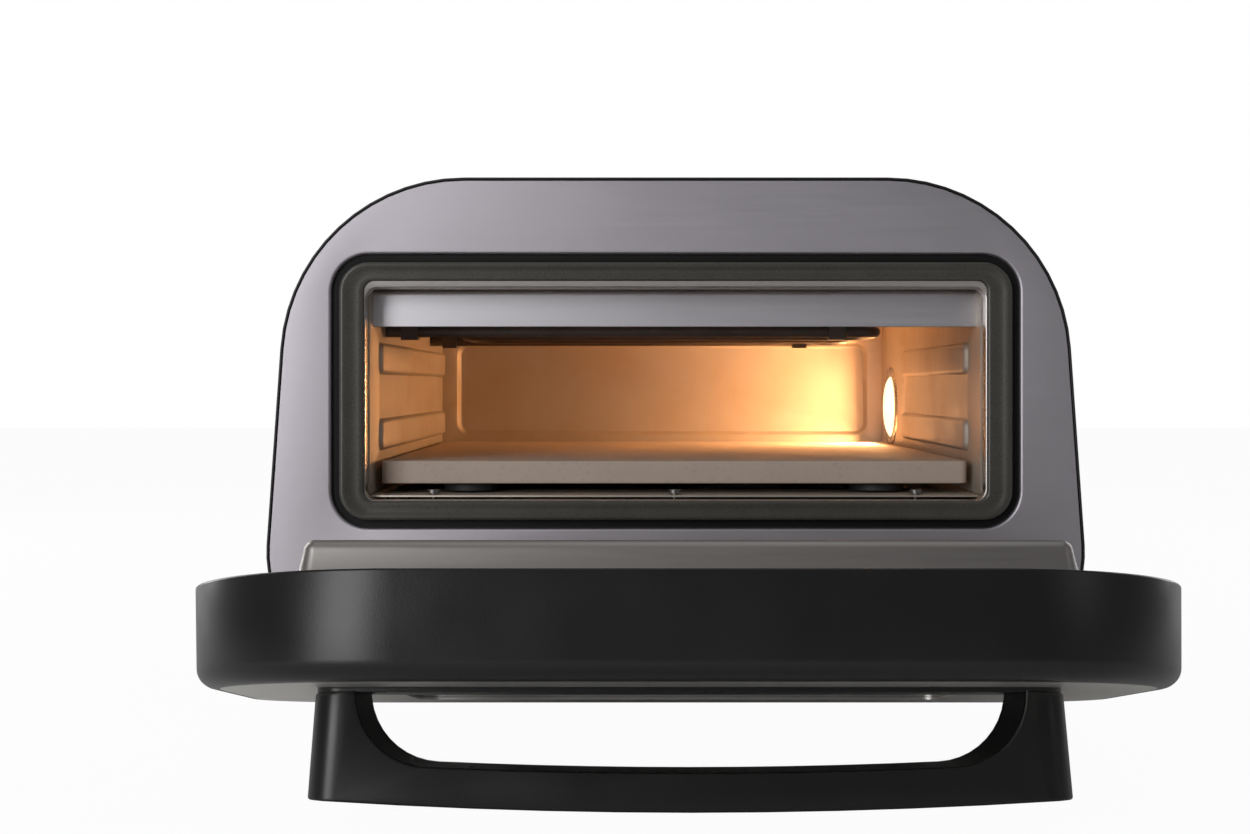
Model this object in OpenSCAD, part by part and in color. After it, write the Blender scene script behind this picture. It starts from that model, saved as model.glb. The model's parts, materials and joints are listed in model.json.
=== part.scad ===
// Countertop electric oven for one round pizza. The whole front is a door that
// drops down on two hinges at its foot. It is drawn with the door open at its stop.
// Millimetres. X runs to the right, Y to the rear and Z up; the counter is z = 0.

/* [Casing] */
// Greatest width of the casing, near its foot
casing_w = 432; // [400:1:460]
// Height of the casing, without its feet
casing_h = 256; // [246:1:290]
// Depth of the casing from the front plate to the rear edge
casing_d = 395; // [385:1:440]
// Radius of the two upper corners
top_r = 97; // [80:1:105]
// Radius of the two lower corners
base_r = 58; // [50:1:62]
// Angle by which each side leans in towards the top, degrees
side_flare = 4; // [2:0.5:5]
// Sheet of the outer shell
shell_t = 1.2; // [0.8:0.1:1.6]
// How far the shell's front edge stands out before the front plate
shell_proud = 0.6; // [0.2:0.1:1]
// Width of the shell's inward flange at the rear
rear_flange_w = 13; // [10:1:16]
// Sheet of the front plate
front_t = 1; // [0.8:0.1:1.5]
// Depth of the front plate's flange inside the shell
front_flange = 11; // [8:1:14]
// Distance of each lower lip's edge from the casing's side
lip_side = 66; // [62:1:76]
// Sheet of the base pan
pan_t = 1.2; // [0.8:0.1:1.6]
// Upstand at the front and rear edges of the base pan
pan_flange_h = 12; // [8:1:20]
// Sheet of the rear panel
rear_t = 1.2; // [0.8:0.1:1.6]

/* [Feet] */
// Height of the casing above the counter
foot_h = 32; // [30:1:40]
// Radius of a foot at its top
foot_r = 14; // [12:0.5:15]
// Radius of a foot at its pad
foot_low_r = 12; // [11:0.5:13]
// Distance of each foot from the casing's side
foot_side = 86; // [84:1:101]
// Distance of the front feet behind the front plate
foot_front_y = 76; // [60:1:100]
// Distance of the rear feet before the casing's rear edge
foot_rear_in = 55; // [40:1:80]
// Thickness of the rubber pad
pad_h = 4; // [3:0.5:6]
// Radius of a foot screw
foot_screw_r = 2.5; // [2:0.1:2.6]

/* [Mouth and cavity] */
// Distance of the mouth from each side of the casing
mouth_side = 52.5; // [49:0.5:55]
// Distance of the mouth's upper edge below the casing's top
mouth_drop = 58.2; // [54:0.2:64]
// Height of the mouth's lower edge above the casing's bottom
mouth_rise = 85.8; // [82:0.2:90]
// Corner radius of the mouth
mouth_r = 6; // [4:0.5:8]
// Depth of the mouth frame's sleeve
sleeve_d = 8; // [6:0.5:10]
// Rise of the cavity floor above the mouth's lower edge
lip_h = 2.7; // [2:0.1:4]
// Distance of the cavity's rear wall before the casing's rear edge
cavity_back = 40; // [35:1:45]
// Sheet of the cavity
sheet_t = 0.8; // [0.6:0.1:1.2]
// Height of a rib pressed in the side walls
rib_h = 17.4; // [14:0.2:18]
// How far a rib stands into the cavity
rib_out = 2.6; // [2:0.1:4]
// Corner radius of a rib
rib_r = 5; // [3:0.5:6]
// Distance of the ribs' front ends behind the front plate
rib_y = 40; // [34:1:50]
// Gap between the lamp's ring and the two ribs on its wall
rib_lamp_gap = 36.5; // [22:0.5:72]
// Rise of the lower ribs above the cavity floor
rib_low = 21.8; // [20:0.2:24]
// Rise of the upper ribs above the cavity floor
rib_high = 64; // [60:0.2:68]
// Gap between the panel pressed in the rear wall and each side wall
rear_recess_side = 10.5; // [8:0.5:20]
// Gap between that panel and the cavity roof
rear_recess_drop = 19.4; // [14:0.2:28]
// How deep that panel is pressed back
rear_recess_out = 5; // [3:0.5:6]
// Rise of that panel above the cavity floor
rear_recess_rise = 20; // [16:0.5:24]
// Height of the baffle that hangs before the upper heater
baffle_h = 20; // [16:0.5:22]
// Distance of the baffle behind the front plate
baffle_y = 20; // [18:0.5:24]
// Gap between the well that holds the lower heater and each side wall
well_side = 13.5; // [10:0.5:23]
// Depth of the well
well_h = 14; // [12:0.5:18]
// Distance of the well's front behind the front plate
well_y = 62; // [58:1:70]
// Distance of the well's rear end before the rear wall
well_back = 57; // [54:1:70]
// Depth of the front baffle's upper flange
baffle_flange = 12; // [8:1:16]
// Distance of the outer floor screws from the side walls
floor_screw_side = 34; // [24:1:40]

/* [Door seal] */
// How far the seal reaches past the mouth at each side
seal_side = 14; // [13:0.5:16]
// How far the seal reaches past the mouth above and below
seal_over = 12; // [11.5:0.1:13]
// Outer corner radius of the seal
seal_r = 15.5; // [14:0.5:20]
// Width of the seal's band
seal_band = 10; // [8:0.5:10.5]
// How far the seal stands out before the front plate
seal_proud = 2.7; // [2:0.1:3]
// How much the seal's centre is above the mouth's centre
seal_rise = 1.5; // [0:0.1:2]
// Width of the groove between the seal and the front plate
groove_w = 4.2; // [2:0.1:5]
// Depth of that groove
groove_d = 3; // [1.5:0.1:4]
// Width of the mouth frame's step behind the front plate
frame_step = 6; // [4:0.5:8]

/* [Stone] */
// Gap between the baking stone and each side of the mouth
stone_side = 4.5; // [4:0.5:14]
// Gap between the baking stone and the rear wall
stone_back = 21; // [15:1:40]
// Thickness of the baking stone
stone_t = 12.2; // [10:0.1:15]
// Corner radius of the baking stone
stone_r = 4; // [2:0.5:10]
// Distance of the stone's front edge behind the front plate
stone_y = 24; // [20:0.5:28]
// Height of the rests under the stone
rest_h = 4.4; // [4:0.2:7]
// Radius of a rest
rest_r = 14.8; // [8:0.2:15]
// Distance of each rest from the side wall
rest_side = 51.5; // [34:0.5:70]

/* [Heaters] */
// Radius of the heater tubes
tube_r = 3.25; // [2.75:0.05:4]
// Bend radius of the heater tubes
tube_bend = 14; // [10:1:18]
// Drop of the upper heater below the cavity roof
upper_drop = 21; // [15:0.5:24]
// Distance of the upper heater's first run behind the front plate
upper_y = 70; // [60:1:80]
// Distance of the upper heater's last run before the rear wall
upper_back = 75; // [60:1:90]
// Gap between the upper heater's turns and the right wall
upper_right_gap = 46.5; // [33:0.5:60]
// Gap between the upper heater's middle turn and the left wall
upper_left_gap = 38.5; // [33:0.5:60]
// Gap between the lower heater's turn and the right wall
lower_right_gap = 41.5; // [33:0.5:60]
// Distance of the lower heater's runs from the well's two ends
lower_in = 30; // [22:1:38]
// How far the tubes' cold ends stand out of the left wall
cold_end = 20; // [16:1:22]
// Radius of a ceramic end bush
bush_r = 6; // [5:0.5:7]
// Length of a ceramic end bush
bush_len = 10; // [8:0.5:12]
// Side of a heater clip's block
clip_w = 9.5; // [9:0.5:12]

/* [Lamp] */
// Distance of the lamp before the rear wall
lamp_back = 43; // [31:1:45]
// Rise of the lamp above the cavity floor
lamp_rise = 42.5; // [40:0.5:60]
// Radius of the lamp's hole in the wall
lamp_r = 22; // [18:0.5:23]
// Width of the ring round the lens
bezel_w = 7.5; // [5:0.5:8]
// Thickness of the ring round the lens
bezel_t = 1.5; // [1:0.1:2]
// How far the lens stands into the cavity
lens_out = 5.5; // [5:0.5:10]
// Thickness of the lens
lens_t = 2.5; // [2:0.1:3]
// Depth of the lamp housing behind the wall
lamp_can_d = 35; // [30:1:36]
// Radius of the bulb
bulb_r = 7; // [5:0.5:9]

/* [Insulation and stands] */
// Thickness of the blanket round the cavity
blanket_t = 15; // [10:1:18]
// Drop of the heat shield below the cavity floor
shield_drop = 24; // [20:0.5:30]
// Width of a stand under the heat shield
stand_w = 24; // [18:1:30]
// Distance of the stands from the well's two ends
stand_in = 40; // [30:1:50]
// Radius of the thermal cut-out
cutout_r = 9; // [8:0.5:11]
// Distance of the cut-out from the right wall
cutout_side = 103.5; // [80:0.5:120]
// Distance of the cut-out before the rear wall
cutout_back = 155; // [120:1:180]
// Radius of the sensing rod
probe_r = 2.2; // [1.8:0.1:3]
// Length of the sensing rod
probe_len = 80; // [60:1:100]
// Distance of the rod before the rear wall
probe_back = 14; // [10:1:20]
// Drop of the rod below the roof
probe_drop = 6; // [5:0.5:9]
// Height of the slots in the rear panel and the base pan
slot_h = 2.8; // [2:0.1:3.5]
// Length of those slots
slot_len = 46; // [30:1:60]

/* [Controls] */
// Height of the control panel's centre above the casing's bottom
ctl_rise = 118; // [105:1:125]
// Distance of the control panel's front end behind the front plate
ctl_y = 62; // [55:1:75]
// Length of the control panel
ctl_len = 178; // [170:1:200]
// Height of the control panel
ctl_h = 62; // [54:1:66]
// Thickness of the control panel
ctl_t = 1.6; // [1:0.1:2]
// Corner radius of the control panel
ctl_r = 10; // [6:0.5:14]
// Radius of a knob's skirt
knob_r = 18; // [15:0.5:20]
// Radius of a knob's grip
knob_grip_r = 14; // [11:0.5:15]
// Height of a knob
knob_h = 8.6; // [8:0.2:12]
// Thickness of a knob's skirt
knob_skirt = 3; // [2:0.2:4]
// Radius of a control shaft
shaft_r = 3; // [2.5:0.1:3.5]
// Distance of the temperature knob from the panel's front end
temp_y = 36; // [30:1:40]
// Distance of the timer knob from the panel's front end
timer_y = 92; // [84:1:96]
// Distance of the switch from the panel's front end
switch_y = 148; // [140:1:150]
// Width and depth of a control's body inside the casing
control_body_w = 34; // [28:1:40]
// Depth of a control's body inside the casing
control_body_d = 20; // [16:1:22]
// Length of the rocker
rocker_len = 20; // [16:1:24]
// Width of the rocker
rocker_w = 12; // [10:0.5:14]
// Radius of a pilot light
pilot_r = 3; // [2.5:0.1:4]

/* [Door] */
// Angle from the open door to the closed door, degrees
door_angle = 77.3; // [70:0.1:80]
// Thickness of the door
door_t = 41.3; // [40:0.1:44]
// Distance of the hinge axis from the door's inner face
hinge_in = 16.8; // [16:0.1:18]
// Height of the hinge axis above the casing's bottom
hinge_rise = 7.5; // [7:0.1:9]
// Gap between the closed door and the front plate
door_gap = 3; // [2.9:0.1:4]
// How much the door's outline is inside the casing's outline
door_inset = 1.2; // [1:0.1:2]
// How much narrower the rim is at its outer face
rim_draft = 2.8; // [0:0.1:4]
// Radius of the rim's outer edge
rim_r = 8; // [6:0.5:9]
// Width of the rim
rim_w = 17; // [16:0.5:20]
// Height of the rim's solid foot, which holds the hinges
rim_foot = 28; // [26:1:34]
// Inset of the outer panel in the rim
panel_in = 12; // [11.5:0.5:13]
// Sheet of the outer panel
panel_t = 1.2; // [1:0.1:1.6]
// Inset of the inner panel in the rim
inner_in = 6; // [5:0.5:10]
// Depth of the pan on the door's inner side
plug_d = 19; // [14:0.5:19]
// Gap between that pan and the mouth at the sides
plug_gap = 1.5; // [1.5:0.5:6]
// Gap between that pan and the mouth above and below
plug_gap_z = 2.5; // [2.5:0.5:8]
// Draft of the pan's walls over its depth
plug_draft = 3.5; // [3:0.5:10]
// Corner radius of the pan at its base
plug_r = 8; // [7.5:0.5:20]
// Distance of the outer panel's window from each side of the casing
window_side = 91; // [86:1:106]
// Height of the window in the outer panel
window_h = 100; // [80:1:104]
// Rise of the window above the hinge axis
window_rise = 48; // [44:1:52]
// Thickness of the outer glass
glass_t = 4; // [3:0.5:5]
// Thickness of the inner glass
inner_glass_t = 3.5; // [3:0.5:4]
// Distance of the pan's window from each side of the mouth
inner_window_side = 45.5; // [43:0.5:54]
// Distance of the pan's window from the mouth's two edges
inner_window_over = 24; // [23:0.5:31]
// How far a glass reaches past its window
glass_lap = 7; // [5:0.5:8]

/* [Handle] */
// Distance of the handle's ends from each side of the casing
handle_side = 62.3; // [60:0.1:70]
// Depth of the handle along the door
handle_d = 30; // [24:1:32]
// Distance of the handle from the hinge axis
handle_u = 160; // [158:1:164]
// How far the handle stands out of the door
handle_out = 49; // [44:0.5:50]
// How much the grip is bowed outwards
handle_bow = 5; // [2:0.5:6]
// Thickness of the grip
grip_t = 15.3; // [13:0.1:17]
// Width of a handle leg
leg_w = 19.2; // [17:0.1:22]
// How much narrower each end of the handle is at the door
handle_flare = 1.5; // [0:0.1:3]
// Radius of the handle's two upright edges that face away from the hinges
handle_edge_r = 12; // [6:0.5:14]
// Radius of the edges on the other side
handle_back_r = 3; // [2:0.5:6]
// How much smaller the opening is on that side
handle_draft = 2.4; // [0:0.1:4]
// How far the base rail stands out round the legs
rail_edge = 0.8; // [0.4:0.1:1.5]
// Radius of the handle's inner corners
handle_r = 30; // [20:1:31]
// Thickness of the handle's base rail
rail_t = 2; // [1.5:0.1:3]
// Radius of a handle screw
handle_screw_r = 2; // [1.5:0.1:2.5]

/* [Hinges] */
// Distance of each hinge from the casing's side
hinge_side = 96; // [91:1:116]
// Radius of a hinge pin
pin_r = 3; // [2.5:0.1:3.5]
// Radius of a hinge barrel
barrel_r = 6.5; // [6:0.1:7]
// Width of a hinge arm
arm_w = 14; // [12:0.5:16]
// Thickness of a hinge ear
ear_t = 3; // [2.5:0.1:4]
// Length of an ear's tail, which meets the stop
tail_len = 11; // [10:0.5:11.5]
// Height of a hinge's mounting plate
hinge_plate_h = 38; // [34:1:44]

/* [Rear fittings] */
// Bore radius of the cord gland
gland_bore_r = 3.6; // [3:0.1:4.5]
// Radius of the gland's collar
gland_r = 9; // [8:0.5:11]
// Length of the gland's collar outside the rear panel
gland_out = 9; // [6:0.5:12]
// Distance of the gland from the casing's side
gland_side = 88; // [81:1:106]
// Height of the gland above the casing's bottom
gland_rise = 40; // [34:1:50]
// Radius of a casing screw
screw_r = 1.7; // [1.4:0.1:2]
// Radius of a screw head
head_r = 3.4; // [3:0.1:4]
// Height of a screw head
head_h = 1.8; // [1.4:0.1:2.4]

/* [Clearances] */
// Gap between sheets that fit inside one another
fit_gap = 0.3; // [0.2:0.05:0.4]
// Gap between flat faces that lie on each other
lay_gap = 0.1; // [0.05:0.05:0.2]
// Radial clearance of a pin that turns in its hole
run_gap = 0.05; // [0.03:0.01:0.08]
// Gap beside a moving piece
side_gap = 0.5; // [0.4:0.1:0.8]

/* [Hidden] */
$fn = 72;
thin = 0.1;       // slices that a hull joins
over = 1;         // how far a cut runs past its piece

z_bottom = foot_h;
z_top = foot_h + casing_h;
base_cx = casing_w / 2 - base_r;
base_cz = z_bottom + base_r;
top_cz = z_top - top_r;
top_cx = base_cx
    + (base_r - top_r - (top_cz - base_cz) * sin(side_flare)) / cos(side_flare);
front_in = shell_t + fit_gap;
pan_z = z_bottom + shell_t + lay_gap;
pan_y0 = front_flange + side_gap;
pan_y1 = casing_d - rear_t - 4 * side_gap;
foot_rear_y = casing_d - foot_rear_in;
foot_x = casing_w / 2 - foot_side;
floor_gap_w = casing_w - 2 * lip_side;

mouth_w = casing_w - 2 * mouth_side;
mouth_h = casing_h - mouth_rise - mouth_drop;
mouth_z = z_bottom + mouth_rise;
mouth_cz = mouth_z + mouth_h / 2;
floor_z = mouth_z + lip_h;
roof_z = mouth_z + mouth_h + lay_gap;
cavity_x = mouth_w / 2;
cavity_d = casing_d - cavity_back;
cavity_y0 = sleeve_d + fit_gap;
rear_recess_w = mouth_w - 2 * rear_recess_side;
rear_recess_h = roof_z - floor_z - rear_recess_rise - rear_recess_drop;
well_w = mouth_w - 2 * well_side;
well_d = cavity_d - well_y - well_back;
floor_screw_x = [for (i = [-1:1]) i * (cavity_x - floor_screw_side)];
floor_screw_y = cavity_y0 + 8;
seal_w = mouth_w + 2 * seal_side;
seal_h = mouth_h + 2 * seal_over;
seal_cz = mouth_cz + seal_rise;
bulge_r = (pow(seal_band / 2, 2) + pow(seal_proud, 2)) / (2 * seal_proud);

stone_w = mouth_w - 2 * stone_side;
stone_d = cavity_d - stone_y - stone_back;
stone_z = floor_z + rest_h + 2 * lay_gap;
rest_x = cavity_x - rest_side;
rest_front_y = stone_y + rest_r + 5;
rest_rear_y = stone_y + stone_d - rest_r - 3;
upper_pitch = (cavity_d - upper_back - upper_y) / 3;
upper_right = cavity_x - upper_right_gap;
upper_left = cavity_x - upper_left_gap;
lower_right = cavity_x - lower_right_gap;
lower_y = well_y + lower_in;
lower_pitch = well_d - 2 * lower_in;
upper_z = roof_z - upper_drop;
lower_z = floor_z - sheet_t - well_h + 2 * tube_r + 1;
cold_x = -cavity_x - sheet_t - cold_end;
upper_runs = [for (i = [0:3]) upper_y + i * upper_pitch];
lower_runs = [lower_y, lower_y + lower_pitch];
upper_path = [
    [cold_x, upper_runs[0]], [upper_right, upper_runs[0]], [upper_right, upper_runs[1]],
    [-upper_left, upper_runs[1]], [-upper_left, upper_runs[2]],
    [upper_right, upper_runs[2]], [upper_right, upper_runs[3]], [cold_x, upper_runs[3]]
];
lower_path = [
    [cold_x, lower_runs[0]], [lower_right, lower_runs[0]],
    [lower_right, lower_runs[1]], [cold_x, lower_runs[1]]
];

lamp_y = cavity_d - lamp_back;
lamp_z = floor_z + lamp_rise;
rib_short = lamp_y - lamp_r - bezel_w - rib_lamp_gap - rib_y;
lens_r = lamp_r - fit_gap;
lens_ball = (pow(lens_r, 2) + pow(lens_out, 2)) / (2 * lens_out);
can_r = lamp_r + 2;

blanket_in = cavity_x + sheet_t + fit_gap;
blanket_top = roof_z + sheet_t + fit_gap;
shield_z = floor_z - shield_drop;
cutout_x = cavity_x - cutout_side;
cutout_y = cavity_d - cutout_back;

ctl_z = z_bottom + ctl_rise;
knob_lift = ctl_t + side_gap;

hinge_y = -(door_gap + hinge_in);
hinge_z = z_bottom + hinge_rise;
out_y = hinge_in - door_t;      // outer face of the closed door, from the hinge
plug_w = mouth_w - 2 * plug_gap;
plug_h = mouth_h - 2 * plug_gap_z;
plug_edge_r = 5;
edge_r = 1;       // of the rim's inner edge
mouth_u = mouth_cz - hinge_z;
window_w = casing_w - 2 * window_side;
inner_window_w = mouth_w - 2 * inner_window_side;
inner_window_h = mouth_h - 2 * inner_window_over;
hinge_x = casing_w / 2 - hinge_side;
window_u = window_rise + window_h / 2;
ear_x = arm_w / 2 + side_gap;
notch_w = 2 * (ear_x + ear_t + side_gap);
notch_u = 2 * barrel_r + 2;
notch_v = barrel_r + 2.5;
ear_v = barrel_r - side_gap;
stop_in = tail_len + 0.2;     // from the hinge axis to the front of the stop
handle_w = casing_w - 2 * handle_side;
handle_x = handle_w / 2 - leg_w / 2;
bow_r = (pow(handle_w / 2, 2) + pow(handle_bow, 2)) / (2 * handle_bow);

gland_x = casing_w / 2 - gland_side;

// Where the open door ends, so that the origin is midway along the whole object.
front_reach = door_gap + hinge_in + (casing_h - hinge_rise) * sin(door_angle)
    + (door_t - hinge_in) * cos(door_angle);
frame_y = (front_reach - casing_d - gland_out) / 2;

case_screw_points = [
    [-top_cx, z_top - rear_flange_w / 2], [top_cx, z_top - rear_flange_w / 2],
    [-side_x(top_cz) + rear_flange_w / 2, top_cz], [side_x(top_cz) - rear_flange_w / 2, top_cz],
    [-side_x(base_cz) + rear_flange_w / 2, base_cz],
    [side_x(base_cz) - rear_flange_w / 2, base_cz]
];
feet = [for (sx = [-1, 1], y = [foot_front_y, foot_rear_y]) [sx * foot_x, y]];
rests = [for (sx = [-1, 1], y = [rest_front_y, rest_rear_y]) [sx * rest_x, y]];

black = "#262627";
steel = "#a8a5a6";
bright = "#c4c2c0";
rubber = "#47443f";
ceramic = "#d8cfbf";
glass = "#20242899";

// Half width of the casing's side at a height between its two corners.
function side_x(z) = base_cx + base_r * cos(side_flare)
    - (z - base_cz - base_r * sin(side_flare)) * tan(side_flare);
function unit(v) = v / norm(v);
// How far the rim's side leans in, at a depth in the closed door.
function rim_lean(y) = rim_draft * (hinge_in - y) / door_t;
function heading(v) = atan2(v[1], v[0]);

// ---------- places and profiles ----------

module centred() {
    translate([0, frame_y, 0]) children();
}

// A flat X-Z outline made solid from y0 to y1.
module slab(y0, y1) {
    translate([0, y1, 0]) rotate([90, 0, 0]) linear_extrude(y1 - y0) children();
}

// A flat Y-Z outline made solid from x0 to x1.
module side_slab(x0, x1) {
    translate([x0, 0, 0]) rotate([90, 0, 90]) linear_extrude(x1 - x0) children();
}

// A flat X-Y outline made solid from z0 to z1.
module deck(z0, z1) {
    translate([0, 0, z0]) linear_extrude(z1 - z0) children();
}

module box(low, high) {
    translate(low) cube(high - low);
}

module round_rect(w, h, r) {
    square([w - 2 * r, h], center = true);
    square([w, h - 2 * r], center = true);
    for (sx = [-1, 1], sy = [-1, 1])
        translate([sx * (w / 2 - r), sy * (h / 2 - r)]) circle(r);
}

// The casing seen from the front, drawn in by the given amount.
module casing_outline(inset) {
    casing_core(inset);
    casing_corners(inset);
}

// The part of that outline between the ends of its four corner arcs.
module casing_core(inset) {
    rt = top_r - inset;
    rb = base_r - inset;
    c = cos(side_flare);
    s = sin(side_flare);
    half = [
        [top_cx, z_top - inset], [top_cx + rt * c, top_cz + rt * s],
        [base_cx + rb * c, base_cz + rb * s], [base_cx, z_bottom + inset]
    ];
    polygon(concat(half, [for (i = [3:-1:0]) [-half[i][0], half[i][1]]]));
}

module casing_corners(inset) {
    for (sx = [-1, 1]) {
        translate([sx * top_cx, top_cz]) circle(top_r - inset);
        translate([sx * base_cx, base_cz]) circle(base_r - inset);
    }
}

// A whole plate of the casing's outline, made as one solid.
module casing_plate(y0, y1, inset) {
    union() {
        slab(y0, y1) casing_outline(inset);
        slab(y0, y1) translate([0, base_cz]) square(base_r, center = true);
    }
}

module casing_ring(inset, width) {
    difference() {
        casing_outline(inset);
        casing_outline(inset + width);
    }
}

module mouth_outline(grow) {
    translate([0, mouth_cz])
        round_rect(mouth_w + 2 * grow, mouth_h + 2 * grow, mouth_r + grow);
}

module seal_land(grow) {
    translate([0, seal_cz])
        round_rect(seal_w + 2 * grow, seal_h + 2 * grow, seal_r + grow);
}

// Children stand on the right side of the casing: their Z points out of it.
module on_side(y, z) {
    translate([side_x(z), y, z]) rotate([0, 90 - side_flare, 0]) children();
}

module rod_y(x, z, y0, y1, r) {
    translate([x, y0, z]) rotate([-90, 0, 0]) cylinder(h = y1 - y0, r = r);
}

module rod_x(y, z, x0, x1, r) {
    translate([x0, y, z]) rotate([0, 90, 0]) cylinder(h = x1 - x0, r = r);
}

// A rod that follows square corners in one level plane, with round bends.
module bent_rod(points, z, r, bend) {
    last = len(points) - 1;
    for (i = [0:last - 1]) {
        d = unit(points[i + 1] - points[i]);
        a = i == 0 ? points[0] : points[i] + bend * d;
        b = i == last - 1 ? points[last] : points[i + 1] - bend * d;
        translate([a[0], a[1], z]) rotate([0, 90, heading(d)])
            cylinder(h = norm(b - a), r = r);
    }
    for (i = [1:last - 1]) {
        d1 = unit(points[i] - points[i - 1]);
        d2 = unit(points[i + 1] - points[i]);
        centre = points[i] - bend * d1 + bend * d2;
        turn = d1[0] * d2[1] - d1[1] * d2[0];
        translate([centre[0], centre[1], z])
            rotate([0, 0, turn > 0 ? heading(-d2) : heading(d1)])
                rotate_extrude(angle = 90) translate([bend, 0]) circle(r);
    }
}

// A screw whose head stands on z = 0 and whose shank runs down.
module screw(r, length, head, head_height) {
    translate([0, 0, -length]) cylinder(h = length + head_height / 2, r = r);
    cylinder(h = head_height, r = head);
}

// Door pieces are drawn closed, from the hinge axis, and opened to their stop.
module door_place() {
    centred() translate([0, hinge_y, hinge_z]) rotate([door_angle, 0, 0]) children();
}

module door_outline(inset) {
    translate([0, -hinge_z]) casing_outline(door_inset + inset);
}

module door_corners(inset) {
    translate([0, -hinge_z]) casing_corners(door_inset + inset);
}

module door_plate(y0, y1, inset) {
    translate([0, 0, -hinge_z]) casing_plate(y0, y1, door_inset + inset);
}

module door_notches(grow) {
    for (sx = [-1, 1])
        box([sx * hinge_x - notch_w / 2 - grow, -notch_v, -hinge_rise - over],
            [sx * hinge_x + notch_w / 2 + grow, hinge_in + over, notch_u + grow]);
}

// ---------- casing ----------

module outer_shell() {
    flange_y = casing_d - rear_t - lay_gap;
    color(black) centred() difference() {
        union() {
            slab(-shell_proud, casing_d) casing_ring(0, shell_t);
            slab(flange_y - shell_t, flange_y)
                casing_ring(shell_t / 2, rear_flange_w - shell_t / 2);
        }
        box([-floor_gap_w / 2, front_flange, z_bottom - over],
            [floor_gap_w / 2, flange_y - shell_t - side_gap, z_bottom + shell_t + lay_gap]);
        control_holes();
        for (p = case_screw_points)
            rod_y(p[0], p[1], flange_y - shell_t - over, flange_y + over, screw_r + lay_gap);
    }
}

// Holes through the right side for shafts, switch and pilot lights.
module control_holes() {
    for (y = [temp_y, timer_y])
        on_side(ctl_y + y, ctl_z) translate([0, 0, -4 * shell_t])
            cylinder(h = 8 * shell_t, r = shaft_r + side_gap);
    on_side(ctl_y + switch_y, ctl_z) translate([0, 0, 0])
        cube([rocker_len + 2 * side_gap, rocker_w + 2 * side_gap, 8 * shell_t], center = true);
    for (y = pilot_places)
        on_side(ctl_y + y, pilot_z) translate([0, 0, -4 * shell_t])
            cylinder(h = 8 * shell_t, r = pilot_r + fit_gap);
}

rocker_pivot = 3.5;   // depth of the rocker's axis below the casing's side
rocker_tilt = 8;
trunnion = 2;
trunnion_r = 1.2;
pilot_places = [(temp_y + timer_y) / 2, (timer_y + switch_y) / 2];
pilot_z = ctl_z + knob_r + 2 * side_gap;

module base_pan() {
    half = base_cx;
    color(steel) centred() difference() {
        union() {
            box([-half, pan_y0, pan_z], [half, pan_y1, pan_z + pan_t]);
            box([-half, pan_y0, pan_z], [half, pan_y0 + pan_t, pan_z + pan_flange_h]);
            box([-half, pan_y1 - pan_t, pan_z], [half, pan_y1, pan_z + pan_flange_h]);
        }
        for (sx = [-1, 1], i = [-4:4])
            translate([sx * slot_len, casing_d / 2 + i * 4 * slot_h, pan_z])
                deck(-over, pan_t + over) round_rect(slot_len, slot_h, slot_h / 2 - thin);
        for (p = feet)
            translate([p[0], p[1], pan_z - over])
                cylinder(h = pan_t + 2 * over, r = foot_screw_r + lay_gap);
    }
}

module rear_panel() {
    y0 = casing_d - rear_t;
    color(black) centred() difference() {
        casing_plate(y0, casing_d, shell_t + fit_gap);
        for (sx = [-1, 0, 1], i = [0:6])
            translate([sx * (slot_len + 14), 0, top_cz - 2 * slot_h + i * 3 * slot_h])
                slab(y0 - over, casing_d + over) round_rect(slot_len, slot_h, slot_h / 2 - thin);
        for (sx = [-1, 0, 1], i = [0:4])
            translate([sx * (slot_len + 14), 0, z_bottom + 2 * pan_flange_h + i * 3 * slot_h])
                slab(y0 - over, casing_d + over) round_rect(slot_len, slot_h, slot_h / 2 - thin);
        for (p = case_screw_points)
            rod_y(p[0], p[1], y0 - over, casing_d + over, screw_r + lay_gap);
        rod_y(-gland_x, z_bottom + gland_rise, y0 - over, casing_d + over,
            gland_neck_r + lay_gap);
    }
}

gland_neck_r = gland_bore_r + 2.4;

module front_plate() {
    color(steel) centred() difference() {
        union() {
            slab(0, front_t) casing_outline(front_in);
            slab(front_t / 2, front_flange) casing_ring(front_in, front_t);
            slab(front_t / 2, groove_d) seal_land(groove_w + front_t);
        }
        slab(-over, groove_d + over) seal_land(groove_w);
        for (sx = [-1, 1], z = hinge_screw_z)
            rod_y(sx * hinge_x, z, -over, front_t + over, screw_r + lay_gap);
    }
}

// ---------- mouth and cavity ----------

// A pressed frame: the land under the seal, a step behind the front plate and the
// sleeve that lines the mouth.
module mouth_frame() {
    step_y = groove_d + lay_gap;
    color(bright) centred() difference() {
        union() {
            slab(0, step_y + sheet_t) seal_land(0);
            slab(step_y, step_y + sheet_t) seal_land(groove_w + frame_step);
            slab(sheet_t / 2, sleeve_d) mouth_outline(sheet_t);
        }
        slab(sheet_t, step_y + sheet_t + over) difference() {
            seal_land(-sheet_t);
            mouth_outline(sheet_t);
        }
        slab(-over, sleeve_d + over) mouth_outline(0);
    }
}

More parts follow.
